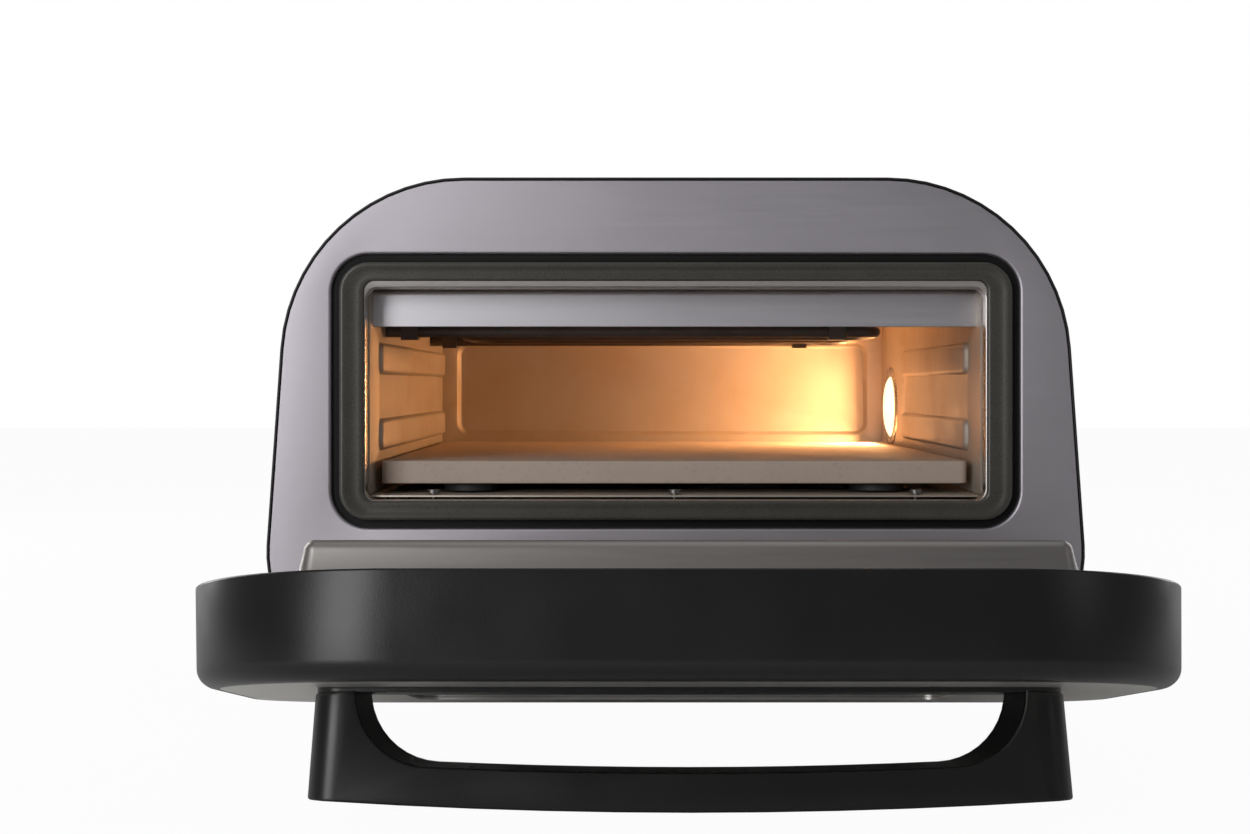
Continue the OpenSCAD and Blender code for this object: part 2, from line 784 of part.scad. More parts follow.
// The rubber seal: a low round band laid on the front plate round the mouth.
module door_seal() {
    mid_r = seal_r - seal_band / 2;
    run_w = seal_w - 2 * seal_r;
    run_h = seal_h - 2 * seal_r;
    color(rubber) centred() translate([0, 0, seal_cz]) rotate([90, 0, 0]) union() {
        for (a = [0, 180]) rotate([0, 0, a]) {
            translate([run_w / 2, seal_h / 2 - seal_band / 2, 0]) rotate([90, 0, -90])
                linear_extrude(run_w) seal_section();
            translate([seal_w / 2 - seal_band / 2, -run_h / 2, 0]) rotate([90, 0, 180])
                linear_extrude(run_h) seal_section();
            translate([run_w / 2, run_h / 2, 0]) rotate_extrude(angle = 90)
                translate([mid_r, 0]) seal_section();
            rotate([0, 0, 0]) translate([-run_w / 2, run_h / 2, 0]) rotate([0, 0, 90])
                rotate_extrude(angle = 90) translate([mid_r, 0]) seal_section();
        }
    }
}

module seal_section() {
    intersection() {
        translate([0, seal_proud - bulge_r]) circle(bulge_r);
        translate([-seal_band, 0]) square([2 * seal_band, 2 * seal_proud]);
    }
}

// One side wall, with its inner face at x = 0 and its ribs towards +X.
module side_wall(low_len, high_len) {
    difference() {
        union() {
            box([-sheet_t, cavity_y0, floor_z - sheet_t], [0, cavity_d, roof_z]);
            rib(rib_low, low_len, 0, -sheet_t / 2, rib_out);
            rib(rib_high, high_len, 0, -sheet_t / 2, rib_out);
        }
        rib(rib_low, low_len, sheet_t, -sheet_t - over, rib_out - sheet_t);
        rib(rib_high, high_len, sheet_t, -sheet_t - over, rib_out - sheet_t);
    }
}

module rib(rise, length, inset, x0, x1) {
    side_slab(x0, x1) translate([rib_y + length / 2, floor_z + rise + rib_h / 2])
        round_rect(length - 2 * inset, rib_h - 2 * inset, rib_r - inset);
}

module cavity_left_wall() {
    full = cavity_d - rib_y - 4;
    color(bright) centred() difference() {
        translate([-cavity_x, 0, 0]) side_wall(full, full);
        for (y = [upper_runs[0], upper_runs[3]])
            rod_x(y, upper_z, -cavity_x - sheet_t - over, -cavity_x + over, tube_r + fit_gap);
    }
}

module cavity_right_wall() {
    color(bright) centred() difference() {
        translate([cavity_x, 0, 0]) mirror([1, 0, 0]) side_wall(rib_short, rib_short);
        rod_x(lamp_y, lamp_z, cavity_x - over, cavity_x + sheet_t + over, lamp_r);
    }
}

module cavity_rear_wall() {
    side = cavity_x + sheet_t;
    z0 = floor_z + rear_recess_rise + rear_recess_h / 2;
    color(bright) centred() difference() {
        union() {
            box([-side, cavity_d, floor_z - sheet_t], [side, cavity_d + sheet_t, roof_z]);
            slab(cavity_d + sheet_t / 2, cavity_d + rear_recess_out + sheet_t)
                translate([0, z0]) round_rect(rear_recess_w, rear_recess_h, 2 * rib_r);
        }
        slab(cavity_d - over, cavity_d + rear_recess_out)
            translate([0, z0]) round_rect(rear_recess_w - 2 * sheet_t,
                rear_recess_h - 2 * sheet_t, 2 * rib_r - sheet_t);
    }
}

module cavity_roof() {
    side = cavity_x + sheet_t;
    color(bright) centred()
        box([-side, cavity_y0, roof_z], [side, cavity_d + sheet_t, roof_z + sheet_t]);
}

module cavity_floor() {
    side = cavity_x - lay_gap;
    well_z = floor_z - sheet_t - well_h;
    mid_y = well_y + well_d / 2;
    color(bright) centred() difference() {
        union() {
            box([-side, cavity_y0, floor_z - sheet_t], [side, cavity_d - lay_gap, floor_z]);
            box([-side, cavity_y0, mouth_z], [side, cavity_y0 + sheet_t, floor_z]);
            translate([0, mid_y, 0]) deck(well_z, floor_z - sheet_t / 2)
                round_rect(well_w, well_d, tube_bend);
        }
        translate([0, mid_y, 0]) deck(well_z + sheet_t, floor_z + over)
            round_rect(well_w - 2 * sheet_t, well_d - 2 * sheet_t, tube_bend - sheet_t);
        for (y = lower_runs)
            rod_x(y, lower_z, -well_w / 2 - over, -well_w / 2 + sheet_t + over,
                tube_r + fit_gap);
        for (x = floor_screw_x)
            translate([x, floor_screw_y, floor_z - 2 * sheet_t])
                cylinder(h = 3 * sheet_t, r = screw_r + lay_gap);
    }
}

module front_baffle() {
    side = cavity_x - fit_gap;
    color(bright) centred() union() {
        box([-side, baffle_y, roof_z - baffle_h], [side, baffle_y + sheet_t, roof_z - lay_gap]);
        box([-side, baffle_y, roof_z - lay_gap - sheet_t],
            [side, baffle_y + baffle_flange, roof_z - lay_gap]);
    }
}

// The cavity floor's three screws and the four flush ones of the hinge plates.
module front_screws() {
    color(steel) centred() {
        for (x = floor_screw_x)
            translate([x, floor_screw_y, floor_z]) screw(screw_r, 2 * head_h, head_r, head_h);
        for (sx = [-1, 1], z = hinge_screw_z)
            rod_y(sx * hinge_x, z, -door_gap + 4 * lay_gap, 3 * head_h, screw_r);
    }
}

module stone_rests() {
    color(steel) centred() for (p = rests)
        translate([p[0], p[1], floor_z]) cylinder(h = rest_h, r = rest_r);
}

module pizza_stone() {
    color("#9c8e80") centred()
        translate([0, stone_y + stone_d / 2, 0]) deck(stone_z, stone_z + stone_t)
            round_rect(stone_w, stone_d, stone_r);
}

// ---------- heaters ----------

module upper_heater() {
    color("#4a4541") centred() bent_rod(upper_path, upper_z, tube_r, tube_bend);
}

module lower_heater() {
    color("#4a4541") centred() bent_rod(lower_path, lower_z, tube_r, tube_bend);
}

// Blocks that carry the tubes: the upper ones hang from the roof.
module heater_clips() {
    floor_top = floor_z - well_h;
    color(ceramic) centred() difference() {
        union() {
            for (x = [clip_w - cavity_x, upper_right - 2 * tube_bend], y = [upper_runs[0], upper_runs[3]])
                box([x, y - clip_w / 2, upper_z - clip_w / 2],
                    [x + clip_w, y + clip_w / 2, roof_z - lay_gap]);
            for (y = lower_runs, x = [0, lower_right - 3 * tube_bend])
                box([x, y - clip_w / 2, floor_top + lay_gap],
                    [x + clip_w, y + clip_w / 2, lower_z + clip_w / 2]);
        }
        for (y = [upper_runs[0], upper_runs[3]])
            rod_x(y, upper_z, -cavity_x, cavity_x, tube_r + lay_gap);
        for (y = lower_runs)
            rod_x(y, lower_z, -cavity_x, cavity_x, tube_r + lay_gap);
    }
}

// Ceramic ends of the four cold tube ends, each with its steel pin.
module heater_bushes() {
    color(ceramic) centred()
        for (place = [[upper_runs[0], upper_z], [upper_runs[3], upper_z],
                      [lower_runs[0], lower_z], [lower_runs[1], lower_z]]) {
            rod_x(place[0], place[1], cold_x - bush_len, cold_x, bush_r);
            rod_x(place[0], place[1], cold_x - bush_len - 4, cold_x - bush_len / 2, tube_r / 2);
        }
}

// ---------- lamp ----------

module lamp_bezel() {
    color(steel) centred() difference() {
        rod_x(lamp_y, lamp_z, cavity_x - bezel_t, cavity_x, lamp_r + bezel_w);
        rod_x(lamp_y, lamp_z, cavity_x - bezel_t - over, cavity_x + over, lamp_r);
    }
}

module lens_form(r, ball) {
    intersection() {
        translate([0, 0, lens_out - ball]) sphere(ball);
        cylinder(h = 2 * lens_out, r = r);
    }
    translate([0, 0, -lens_t]) cylinder(h = lens_t + thin, r = r);
}

module lamp_lens() {
    color("#fff2c8aa") centred() translate([cavity_x, lamp_y, lamp_z])
        rotate([0, -90, 0]) difference() {
            lens_form(lens_r, lens_ball);
            translate([0, 0, -lens_t]) lens_form(lens_r - lens_t, lens_ball);
        }
}

module lamp_bulb() {
    x0 = cavity_x + sheet_t + 6;
    color("#fff4d0") centred() union() {
        rod_x(lamp_y, lamp_z, x0 + bulb_r, x0 + 18, bulb_r);
        translate([x0 + bulb_r, lamp_y, lamp_z]) sphere(bulb_r);
    }
}

module lamp_socket() {
    x0 = cavity_x + sheet_t + 6 + 18 + lay_gap;
    color(ceramic) centred()
        rod_x(lamp_y, lamp_z, x0, cavity_x + lamp_can_d - sheet_t - lay_gap, bulb_r + 3);
}

module lamp_housing() {
    x0 = cavity_x + sheet_t + lay_gap;
    x1 = cavity_x + lamp_can_d;
    color(steel) centred() difference() {
        union() {
            rod_x(lamp_y, lamp_z, x0, x1, can_r + sheet_t);
            rod_x(lamp_y, lamp_z, x0, x0 + sheet_t, can_r + 5);
        }
        rod_x(lamp_y, lamp_z, x0 - over, x1 - sheet_t, can_r);
    }
}

// ---------- insulation and stands ----------

module insulation_blanket() {
    out_x = blanket_in + blanket_t;
    y0 = sleeve_d + 5;
    y1 = cavity_d + sheet_t;
    color("#d9c98f") centred() difference() {
        box([-out_x, y0, shield_z], [out_x, y1, blanket_top + blanket_t]);
        box([-blanket_in, y0 - over, shield_z - over], [blanket_in, y1 + over, blanket_top]);
        for (y = [upper_runs[0], upper_runs[3]])
            rod_x(y, upper_z, -out_x - over, -blanket_in + over, bush_r + side_gap);
        for (y = lower_runs)
            rod_x(y, lower_z, -out_x - over, -blanket_in + over, bush_r + side_gap);
        rod_x(lamp_y, lamp_z, blanket_in - over, out_x + over, can_r + 5 + side_gap);
        translate([cutout_x, cutout_y, blanket_top - over])
            cylinder(h = blanket_t + 2 * over, r = cutout_r + 2);
    }
}

module rear_insulation() {
    y0 = cavity_d + rear_recess_out + sheet_t + fit_gap;
    color("#d9c98f") centred()
        box([-cavity_x, y0, floor_z], [cavity_x, y0 + blanket_t, roof_z]);
}

module heat_shield() {
    side = well_w / 2 + 4;
    y0 = well_y - 20;
    y1 = well_y + well_d + 20;
    color(steel) centred() difference() {
        union() {
            box([-side, y0, shield_z], [side, y1, shield_z + sheet_t]);
            for (x = [-side, side - sheet_t])
                box([x, y0, shield_z], [x + sheet_t, y1, floor_z - sheet_t - lay_gap]);
        }
        for (y = lower_runs)
            rod_x(y, lower_z, -side - over, -side + sheet_t + over, tube_r + fit_gap);
    }
}

// Two folded channels that carry the cavity on the base pan.
module cavity_stands() {
    z0 = pan_z + pan_t + lay_gap;
    color(steel) centred() for (y = [well_y + stand_in, well_y + well_d - stand_in - stand_w])
        difference() {
            box([-rest_x, y, z0], [rest_x, y + stand_w, shield_z - lay_gap]);
            box([-rest_x - over, y + sheet_t, z0 + sheet_t],
                [rest_x + over, y + stand_w + over, shield_z - lay_gap - sheet_t]);
        }
}

module thermal_cutout() {
    z0 = roof_z + sheet_t + lay_gap;
    color(black) centred() translate([cutout_x, cutout_y, z0]) union() {
        cylinder(h = 2, r = cutout_r);
        cylinder(h = 9, r = cutout_r - 2);
        for (sx = [-1, 1]) box([sx * 4 - 0.4, -3, 8], [sx * 4 + 0.4, 3, 15]);
    }
}

// ---------- controls ----------

// A control's body hangs inside the shell, with a bush that its shaft turns in.
module control_body(depth) {
    top = -shell_t - lay_gap;
    difference() {
        translate([-control_body_w / 2, -control_body_w / 2, top - depth])
            cube([control_body_w, control_body_w, depth]);
        translate([0, 0, top - depth / 2]) cylinder(h = depth, r = shaft_r + run_gap);
    }
}

module thermostat_body() {
    color(ceramic) centred() on_side(ctl_y + temp_y, ctl_z) control_body(control_body_d);
}

module timer_body() {
    color(bright) centred() on_side(ctl_y + timer_y, ctl_z) control_body(control_body_d);
}

// Sensing rod at the rear of the roof, in its two saddles.
module thermostat_probe() {
    y = cavity_d - probe_back;
    z = roof_z - probe_drop;
    x = -probe_len / 4;
    wide = probe_r + 0.8;
    color("#b87333") centred() union() {
        rod_x(y, z, x - probe_len / 2, x + probe_len / 2, probe_r);
        for (sx = [-1, 1])
            translate([x + sx * 3 * probe_len / 8, 0, 0])
                box([-wide / 2, y - wide, z], [wide / 2, y + wide, roof_z - lay_gap]);
    }
}

module switch_body() {
    top = -shell_t - lay_gap;
    out = rocker_len / 2 + 4;
    color(black) centred() on_side(ctl_y + switch_y, ctl_z) difference() {
        translate([-out, -rocker_w / 2 - 3, top - control_body_d])
            cube([2 * out, rocker_w + 6, control_body_d]);
        translate([-rocker_len / 2 - side_gap, -rocker_w / 2 - side_gap, top - control_body_d / 2])
            cube([rocker_len + 2 * side_gap, rocker_w + 2 * side_gap, control_body_d]);
        rod_y(0, -rocker_pivot, -rocker_w, rocker_w, trunnion_r + run_gap);
    }
}

module control_panel() {
    color(black) centred() difference() {
        on_side(ctl_y + ctl_len / 2, ctl_z) deck(lay_gap, ctl_t)
            round_rect(ctl_h, ctl_len, ctl_r);
        control_holes();
    }
}

module pilot_lights() {
    color("#c0392b") centred() for (y = pilot_places)
        on_side(ctl_y + y, pilot_z) union() {
            translate([0, 0, -6]) cylinder(h = ctl_t + 6.6, r = pilot_r);
            translate([0, 0, ctl_t + lay_gap]) cylinder(h = 1, r = pilot_r + 0.8);
        }
}

// A knob with its skirt, its grip bar and the shaft that it turns.
module knob() {
    difference() {
        union() {
            translate([0, 0, knob_lift]) cylinder(h = knob_skirt, r = knob_r);
            translate([0, 0, knob_lift]) cylinder(h = knob_h, r = knob_grip_r);
            translate([0, 0, -shell_t - control_body_d / 3])
                cylinder(h = knob_lift + shell_t + control_body_d / 3 + over, r = shaft_r);
        }
        translate([-knob_grip_r + 3, -0.6, knob_lift + knob_h - 0.8])
            mirror([1, 0, 0]) cube([knob_grip_r, 1.2, over]);
    }
}

module temperature_knob() {
    color(black) centred() on_side(ctl_y + temp_y, ctl_z) knob();
}

module timer_knob() {
    color(black) centred() on_side(ctl_y + timer_y, ctl_z) knob();
}

// The rocker tips on two trunnions, about a line along the casing's depth.
module power_rocker() {
    half = rocker_len / 2 - rocker_tilt / 10;
    top = rocker_pivot + ctl_t;
    color("#7a1f1a") centred() on_side(ctl_y + switch_y, ctl_z)
        translate([0, 0, -rocker_pivot]) rotate([0, rocker_tilt, 0]) union() {
            slab(-rocker_w / 2, rocker_w / 2) polygon([
                [-half, -rocker_pivot / 2], [half, -rocker_pivot / 2],
                [half, top + ctl_t], [0, top], [-half, top + ctl_t]
            ]);
            rod_y(0, 0, -rocker_w / 2 - trunnion, rocker_w / 2 + trunnion, trunnion_r);
        }
}

// ---------- rear fittings ----------

module terminal_block() {
    z0 = pan_z + pan_t + lay_gap;
    color(ceramic) centred() difference() {
        box([-foot_x + 4 * foot_screw_r, foot_rear_y - 10, z0],
            [-foot_x + 4 * foot_screw_r + 42, foot_rear_y + 8, z0 + 16]);
        for (i = [0:2])
            translate([-foot_x + 4 * foot_screw_r + 8 + 13 * i, foot_rear_y - 1, z0 + 6])
                cylinder(h = 11, r = 3);
    }
}

module cord_gland() {
    y0 = casing_d - rear_t - lay_gap;
    color(black) centred() translate([-gland_x, 0, z_bottom + gland_rise]) difference() {
        union() {
            rod_y(0, 0, y0 - 8, casing_d + gland_out, gland_neck_r);
            rod_y(0, 0, casing_d + lay_gap, casing_d + gland_out, gland_r);
            rod_y(0, 0, y0 - 4, y0, gland_r);
        }
        rod_y(0, 0, y0 - 8 - over, casing_d + gland_out + over, gland_bore_r);
    }
}

module case_screws() {
    color(black) centred() for (p = case_screw_points)
        translate([p[0], casing_d, p[1]]) rotate([-90, 0, 0])
            screw(screw_r, 3 * head_h, head_r, head_h);
}

// ---------- feet ----------

module foot(x, y) {
    z1 = pan_z - lay_gap;
    color(black) centred() translate([x, y, 0]) difference() {
        translate([0, 0, pad_h]) cylinder(h = z1 - pad_h, r1 = foot_low_r, r2 = foot_r);
        translate([0, 0, z1 - 14]) cylinder(h = 14 + over, r = foot_screw_r + lay_gap);
    }
}

module foot_front_left() { foot(-foot_x, foot_front_y); }
module foot_front_right() { foot(foot_x, foot_front_y); }
module foot_rear_left() { foot(-foot_x, foot_rear_y); }
module foot_rear_right() { foot(foot_x, foot_rear_y); }

module foot_pads() {
    color(rubber) centred() for (p = feet)
        translate([p[0], p[1], 0]) cylinder(h = pad_h, r = foot_low_r);
}

module foot_screws() {
    color(steel) centred() for (p = feet)
        translate([p[0], p[1], pan_z + pan_t + lay_gap])
            screw(foot_screw_r, 12, 2 * foot_screw_r, head_h);
}

// ---------- hinges on the casing ----------

hinge_screw_z = [for (i = [1:2]) hinge_z + notch_u + i * 7];

// A plate on the front of the casing, with an arm to the pin and a lug above
// the ears' tails, where the open door stops.
module hinge_bracket(x) {
    plate_y = -door_gap + 4 * lay_gap;
    stop_z = hinge_z + ear_v * sin(door_angle) + lay_gap
        - (stop_in - ear_v * cos(door_angle)) / tan(door_angle);
    color(steel) centred() translate([x, 0, 0]) difference() {
        union() {
            box([-notch_w / 2 + side_gap, plate_y, z_bottom + front_in],
                [notch_w / 2 - side_gap, 0, hinge_z - barrel_r + hinge_plate_h]);
            box([-arm_w / 2, hinge_y, hinge_z - barrel_r],
                [arm_w / 2, plate_y + over, hinge_z + barrel_r]);
            rod_x(hinge_y, hinge_z, -arm_w / 2, arm_w / 2, barrel_r);
            box([-ear_x - ear_t, hinge_y + stop_in, stop_z],
                [ear_x + ear_t, plate_y + over, stop_z + 6]);
        }
        rod_x(hinge_y, hinge_z, -arm_w, arm_w, pin_r + run_gap / 2);
        for (z = hinge_screw_z) rod_y(0, z, plate_y - over, over, screw_r + lay_gap);
    }
}

module hinge_bracket_left() { hinge_bracket(-hinge_x); }
module hinge_bracket_right() { hinge_bracket(hinge_x); }

module hinge_pins() {
    half = ear_x + ear_t;
    color(bright) centred() for (sx = [-1, 1])
        rod_x(hinge_y, hinge_z, sx * hinge_x - half, sx * hinge_x + half, pin_r);
}

// ---------- door ----------

module door_rim() {
    color(black) door_place() difference() {
        hull() {
            for (a = [0:15:90]) {
                y = out_y + rim_r * (1 - sin(a));
                slab(y, y + thin) door_corners(rim_lean(y) + rim_r * (1 - cos(a)));
            }
            for (a = [0:30:90]) {
                y = hinge_in - edge_r * (1 - sin(a));
                slab(y - thin, y) door_corners(rim_lean(y) + edge_r * (1 - cos(a)));
            }
        }
        slab(out_y - over, hinge_in + over) intersection() {
            door_outline(rim_w);
            translate([-casing_w / 2, rim_foot - hinge_rise])
                square([casing_w, casing_h]);
        }
        slab(out_y - over, out_y + panel_t + lay_gap) door_outline(panel_in - fit_gap);
        slab(hinge_in - sheet_t - lay_gap, hinge_in + over) door_outline(inner_in - fit_gap);
        door_notches(0);
    }
}

module window_outline(grow) {
    translate([0, window_u])
        round_rect(window_w + 2 * grow, window_h + 2 * grow, 8 + grow);
}

module inner_window_outline(grow) {
    translate([0, mouth_u])
        round_rect(inner_window_w + 2 * grow, inner_window_h + 2 * grow, 8 + grow);
}

module door_outer_panel() {
    color(steel) door_place() difference() {
        door_plate(out_y, out_y + panel_t, panel_in);
        slab(out_y - over, out_y + panel_t + over) window_outline(0);
        handle_screw_holes(handle_screw_r + lay_gap);
    }
}

module handle_screw_holes(r) {
    for (sx = [-1, 1])
        translate([sx * handle_x, 0, handle_u + handle_d / 2])
            rod_y(0, 0, out_y - handle_out / 2, out_y + 4 * panel_t, r);
}

module door_window_outer() {
    y0 = out_y + panel_t + lay_gap;
    color(glass) door_place() slab(y0, y0 + glass_t) window_outline(glass_lap);
}

module door_inner_panel() {
    color(bright) door_place() difference() {
        door_plate(hinge_in - sheet_t, hinge_in, inner_in);
        slab(hinge_in - sheet_t - over, hinge_in + over) plug_outline(fit_gap);
        door_notches(0);
    }
}

module plug_outline(grow) {
    translate([0, mouth_u]) round_rect(plug_w + 2 * grow, plug_h + 2 * grow, plug_r + grow);
}

// The pan's form, drawn in by the sheet for its hollow.
module pan_form(inset, depth) {
    hull() {
        slab(hinge_in - sheet_t, hinge_in - sheet_t + thin) plug_outline(-inset);
        for (a = [0:30:90]) {
            y = hinge_in + depth - plug_edge_r * (1 - sin(a));
            slab(y - thin, y) plug_outline(-inset - plug_draft * (1 - plug_edge_r / plug_d)
                - plug_edge_r * (1 - cos(a)) / 1.6);
        }
    }
}

module door_pan() {
    y0 = hinge_in - sheet_t - lay_gap;
    color(bright) door_place() difference() {
        union() {
            pan_form(0, plug_d);
            slab(y0 - sheet_t, y0) plug_outline(glass_lap);
            slab(y0 - sheet_t, hinge_in) plug_outline(0);
        }
        pan_form(sheet_t, plug_d - sheet_t);
        slab(y0 - sheet_t - over, hinge_in - sheet_t + thin) plug_outline(-sheet_t);
        slab(hinge_in, hinge_in + plug_d + over) inner_window_outline(0);
    }
}

module door_window_inner() {
    y1 = hinge_in + plug_d - sheet_t - lay_gap;
    color(glass) door_place() slab(y1 - inner_glass_t, y1) inner_window_outline(glass_lap);
}

// ---------- handle ----------

// The handle seen along the door, without its opening.
module handle_outline() {
    half = handle_w / 2;
    foot = half - handle_flare;
    intersection() {
        polygon([[-foot, rail_t], [foot, rail_t], [half, handle_out], [-half, handle_out]]);
        translate([0, handle_out - bow_r]) circle(bow_r, $fn = 720);
    }
}

// The four corners of its opening and the bowed side, drawn in by the given amount.
module opening_corners(inset) {
    x = handle_w / 2 - leg_w - handle_r;
    inner_bow = bow_r - grip_t;
    bow_z = handle_out - bow_r;
    z = bow_z + sqrt(pow(inner_bow - handle_r, 2) - x * x);
    for (sx = [-1, 1], corner_z = [-handle_r, z])
        translate([sx * x, corner_z]) circle(handle_r - inset);
    intersection() {
        translate([0, bow_z]) circle(inner_bow - inset, $fn = 720);
        translate([-x, z]) square([2 * x, handle_r + over]);
    }
}

// The handle seen square to the door, drawn in by the given amount.
module handle_plan(inset) {
    half = handle_w / 2 - inset;
    top = handle_u + handle_d;
    translate([-half, handle_u + handle_back_r])
        square([2 * half, handle_d - handle_edge_r - handle_back_r]);
    translate([-half + handle_edge_r, handle_u])
        square([2 * (half - handle_edge_r), handle_d]);
    for (sx = [-1, 1]) {
        translate([sx * (half - handle_edge_r), top - handle_edge_r]) circle(handle_edge_r);
        translate([sx * (half - handle_back_r), handle_u + handle_back_r]) circle(handle_back_r);
        translate([sx * (half - handle_edge_r / 2 - handle_back_r / 2), handle_u + handle_back_r])
            square([handle_edge_r - handle_back_r, 2 * handle_back_r], center = true);
    }
}

// Children are drawn along the door, with the edge far from the hinges at z = 0.
module on_door() {
    translate([0, out_y, handle_u]) rotate([180, 0, 0]) translate([0, 0, -handle_d]) children();
}

module handle() {
    color(black) door_place() difference() {
        intersection() {
            on_door() linear_extrude(handle_d) handle_outline();
            slab(out_y - handle_out - over, out_y) handle_plan(0);
        }
        on_door() hull() {
            translate([0, 0, -over]) linear_extrude(thin) opening_corners(0);
            translate([0, 0, handle_d + over]) linear_extrude(thin)
                opening_corners(handle_draft);
        }
        handle_screw_holes(handle_screw_r + lay_gap / 2);
    }
}

module handle_rail() {
    color(black) door_place() difference() {
        slab(out_y - rail_t, out_y) handle_plan(handle_flare - rail_edge);
        handle_screw_holes(handle_screw_r + lay_gap);
    }
}

module handle_screws() {
    y0 = out_y + panel_t;
    color(steel) door_place() for (sx = [-1, 1])
        translate([sx * handle_x, y0, handle_u + handle_d / 2]) rotate([-90, 0, 0])
            screw(handle_screw_r, 12, head_r, head_h);
}

// ---------- hinge leaves in the door ----------

// Two ears and the web between them, in the notch of the rim.
module hinge_leaves() {
    color(steel) door_place() for (sx = [-1, 1]) translate([sx * hinge_x, 0, 0])
        difference() {
            union() {
                for (x = [-ear_x - ear_t, ear_x]) {
                    rod_x(0, 0, x, x + ear_t, barrel_r);
                    box([x, -ear_v, 0], [x + ear_t, ear_v, notch_u - lay_gap]);
                    box([x, 0, -tail_len], [x + ear_t, ear_v, 0]);
                }
                box([-ear_x - ear_t, -ear_v, notch_u - lay_gap - ear_t / 2],
                    [ear_x + ear_t, ear_v, notch_u - lay_gap]);
            }
            rod_x(0, 0, -notch_w, notch_w, pin_r + run_gap);
        }
}

outer_shell();
base_pan();
rear_panel();
front_plate();
mouth_frame();
door_seal();
cavity_left_wall();
cavity_right_wall();
cavity_rear_wall();
cavity_roof();
cavity_floor();
front_baffle();
upper_heater();
lower_heater();
heater_clips();
heater_bushes();
stone_rests();
front_screws();
lamp_bezel();
lamp_lens();
lamp_bulb();
lamp_socket();
lamp_housing();
insulation_blanket();
rear_insulation();
heat_shield();
cavity_stands();
thermal_cutout();
thermostat_body();
thermostat_probe();
timer_body();
switch_body();
control_panel();
pilot_lights();
terminal_block();
cord_gland();
case_screws();
foot_front_left();
foot_front_right();
foot_rear_left();
foot_rear_right();
foot_pads();
foot_screws();
hinge_bracket_left();
hinge_bracket_right();
hinge_pins();
pizza_stone();
temperature_knob();
timer_knob();
power_rocker();
door_rim();
door_outer_panel();
door_inner_panel();
door_pan();
door_window_outer();
door_window_inner();
handle();
handle_rail();
handle_screws();
hinge_leaves();
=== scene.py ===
import json
import math

import bmesh
import bpy
from mathutils import Matrix, Vector


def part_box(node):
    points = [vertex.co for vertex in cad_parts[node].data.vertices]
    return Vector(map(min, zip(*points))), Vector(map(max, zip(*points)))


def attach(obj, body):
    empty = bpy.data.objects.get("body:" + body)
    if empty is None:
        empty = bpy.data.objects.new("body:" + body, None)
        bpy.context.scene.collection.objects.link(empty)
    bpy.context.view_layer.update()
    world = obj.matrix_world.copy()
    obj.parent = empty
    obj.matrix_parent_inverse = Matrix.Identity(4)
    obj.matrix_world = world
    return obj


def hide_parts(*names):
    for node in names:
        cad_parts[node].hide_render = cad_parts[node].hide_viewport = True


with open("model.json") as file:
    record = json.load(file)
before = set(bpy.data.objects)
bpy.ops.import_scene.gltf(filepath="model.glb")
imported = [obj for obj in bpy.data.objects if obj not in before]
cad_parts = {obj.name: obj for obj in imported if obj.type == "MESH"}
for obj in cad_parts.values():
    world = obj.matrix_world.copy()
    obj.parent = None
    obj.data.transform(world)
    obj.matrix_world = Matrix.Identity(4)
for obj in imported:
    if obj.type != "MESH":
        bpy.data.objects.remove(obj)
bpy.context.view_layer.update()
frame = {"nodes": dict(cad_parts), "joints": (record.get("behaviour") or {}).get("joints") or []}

MM = 0.001
X, Y, Z = Vector((1, 0, 0)), Vector((0, 1, 0)), Vector((0, 0, 1))
# Trades Y for Z, to lay down a shape that was drawn upright.
LAID_FLAT = Matrix(((1, 0, 0, 0), (0, 0, 1, 0), (0, 1, 0, 0), (0, 0, 0, 1)))


def find_joint(name):
    return next(joint for joint in frame["joints"] if joint["name"] == name)



# The casing, as the frame gives it.
shell_low, shell_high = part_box("outer_shell")
CASING_W = shell_high.x - shell_low.x
BOTTOM = shell_low.z
TOP = shell_high.z
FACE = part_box("front_plate")[0].y
REAR = shell_high.y
TOP_R = 97 * MM
BASE_R = 58 * MM
FLARE = math.radians(4)

# Mouth, cavity and stone.
MOUTH_R = 6 * MM
LINER_T = 0.8 * MM
MOUTH_X = -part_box("cavity_left_wall")[0].x - LINER_T
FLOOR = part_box("cavity_floor")[1].z
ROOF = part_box("cavity_roof")[0].z
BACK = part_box("cavity_rear_wall")[0].y

# The door, drawn closed from its hinge and opened by this matrix.
hinge = find_joint("door_hinge")
HINGE = Vector(hinge["pos_m"])
DOOR_OPEN = math.radians(hinge["range_deg"][1])
DOOR_PLACE = Matrix.Translation(HINGE) @ Matrix.Rotation(DOOR_OPEN, 4, "X")
DOOR_T = 41.3 * MM
INNER_Y = 16.8 * MM
OUTER_Y = INNER_Y - DOOR_T
DOOR_INSET = 1.2 * MM

ARC_STEPS = 14
FULL_STEPS = 56


# ---------- shapes ----------

def quarter_turn(steps):
    """The angles from 0 to a right angle, in even steps."""
    return [math.pi / 2 * i / steps for i in range(steps + 1)]


def casing(inset, drop=0.0):
    """The arcs of the casing's outline, drawn in by inset and lowered by drop."""
    base_x = CASING_W / 2 - BASE_R
    base_z = BOTTOM + BASE_R - drop
    top_z = TOP - TOP_R - drop
    fall = (top_z - base_z) * math.sin(FLARE)
    top_x = base_x + (BASE_R - TOP_R - fall) / math.cos(FLARE)
    half, turn = math.pi / 2, math.pi
    return [
        (top_x, top_z, TOP_R - inset, FLARE, half),
        (-top_x, top_z, TOP_R - inset, half, turn - FLARE),
        (-base_x, base_z, BASE_R - inset, turn - FLARE, 3 * half),
        (base_x, base_z, BASE_R - inset, 3 * half, 2 * turn + FLARE),
    ]


def door_outline(inset):
    return casing(DOOR_INSET + inset, drop=HINGE.z)


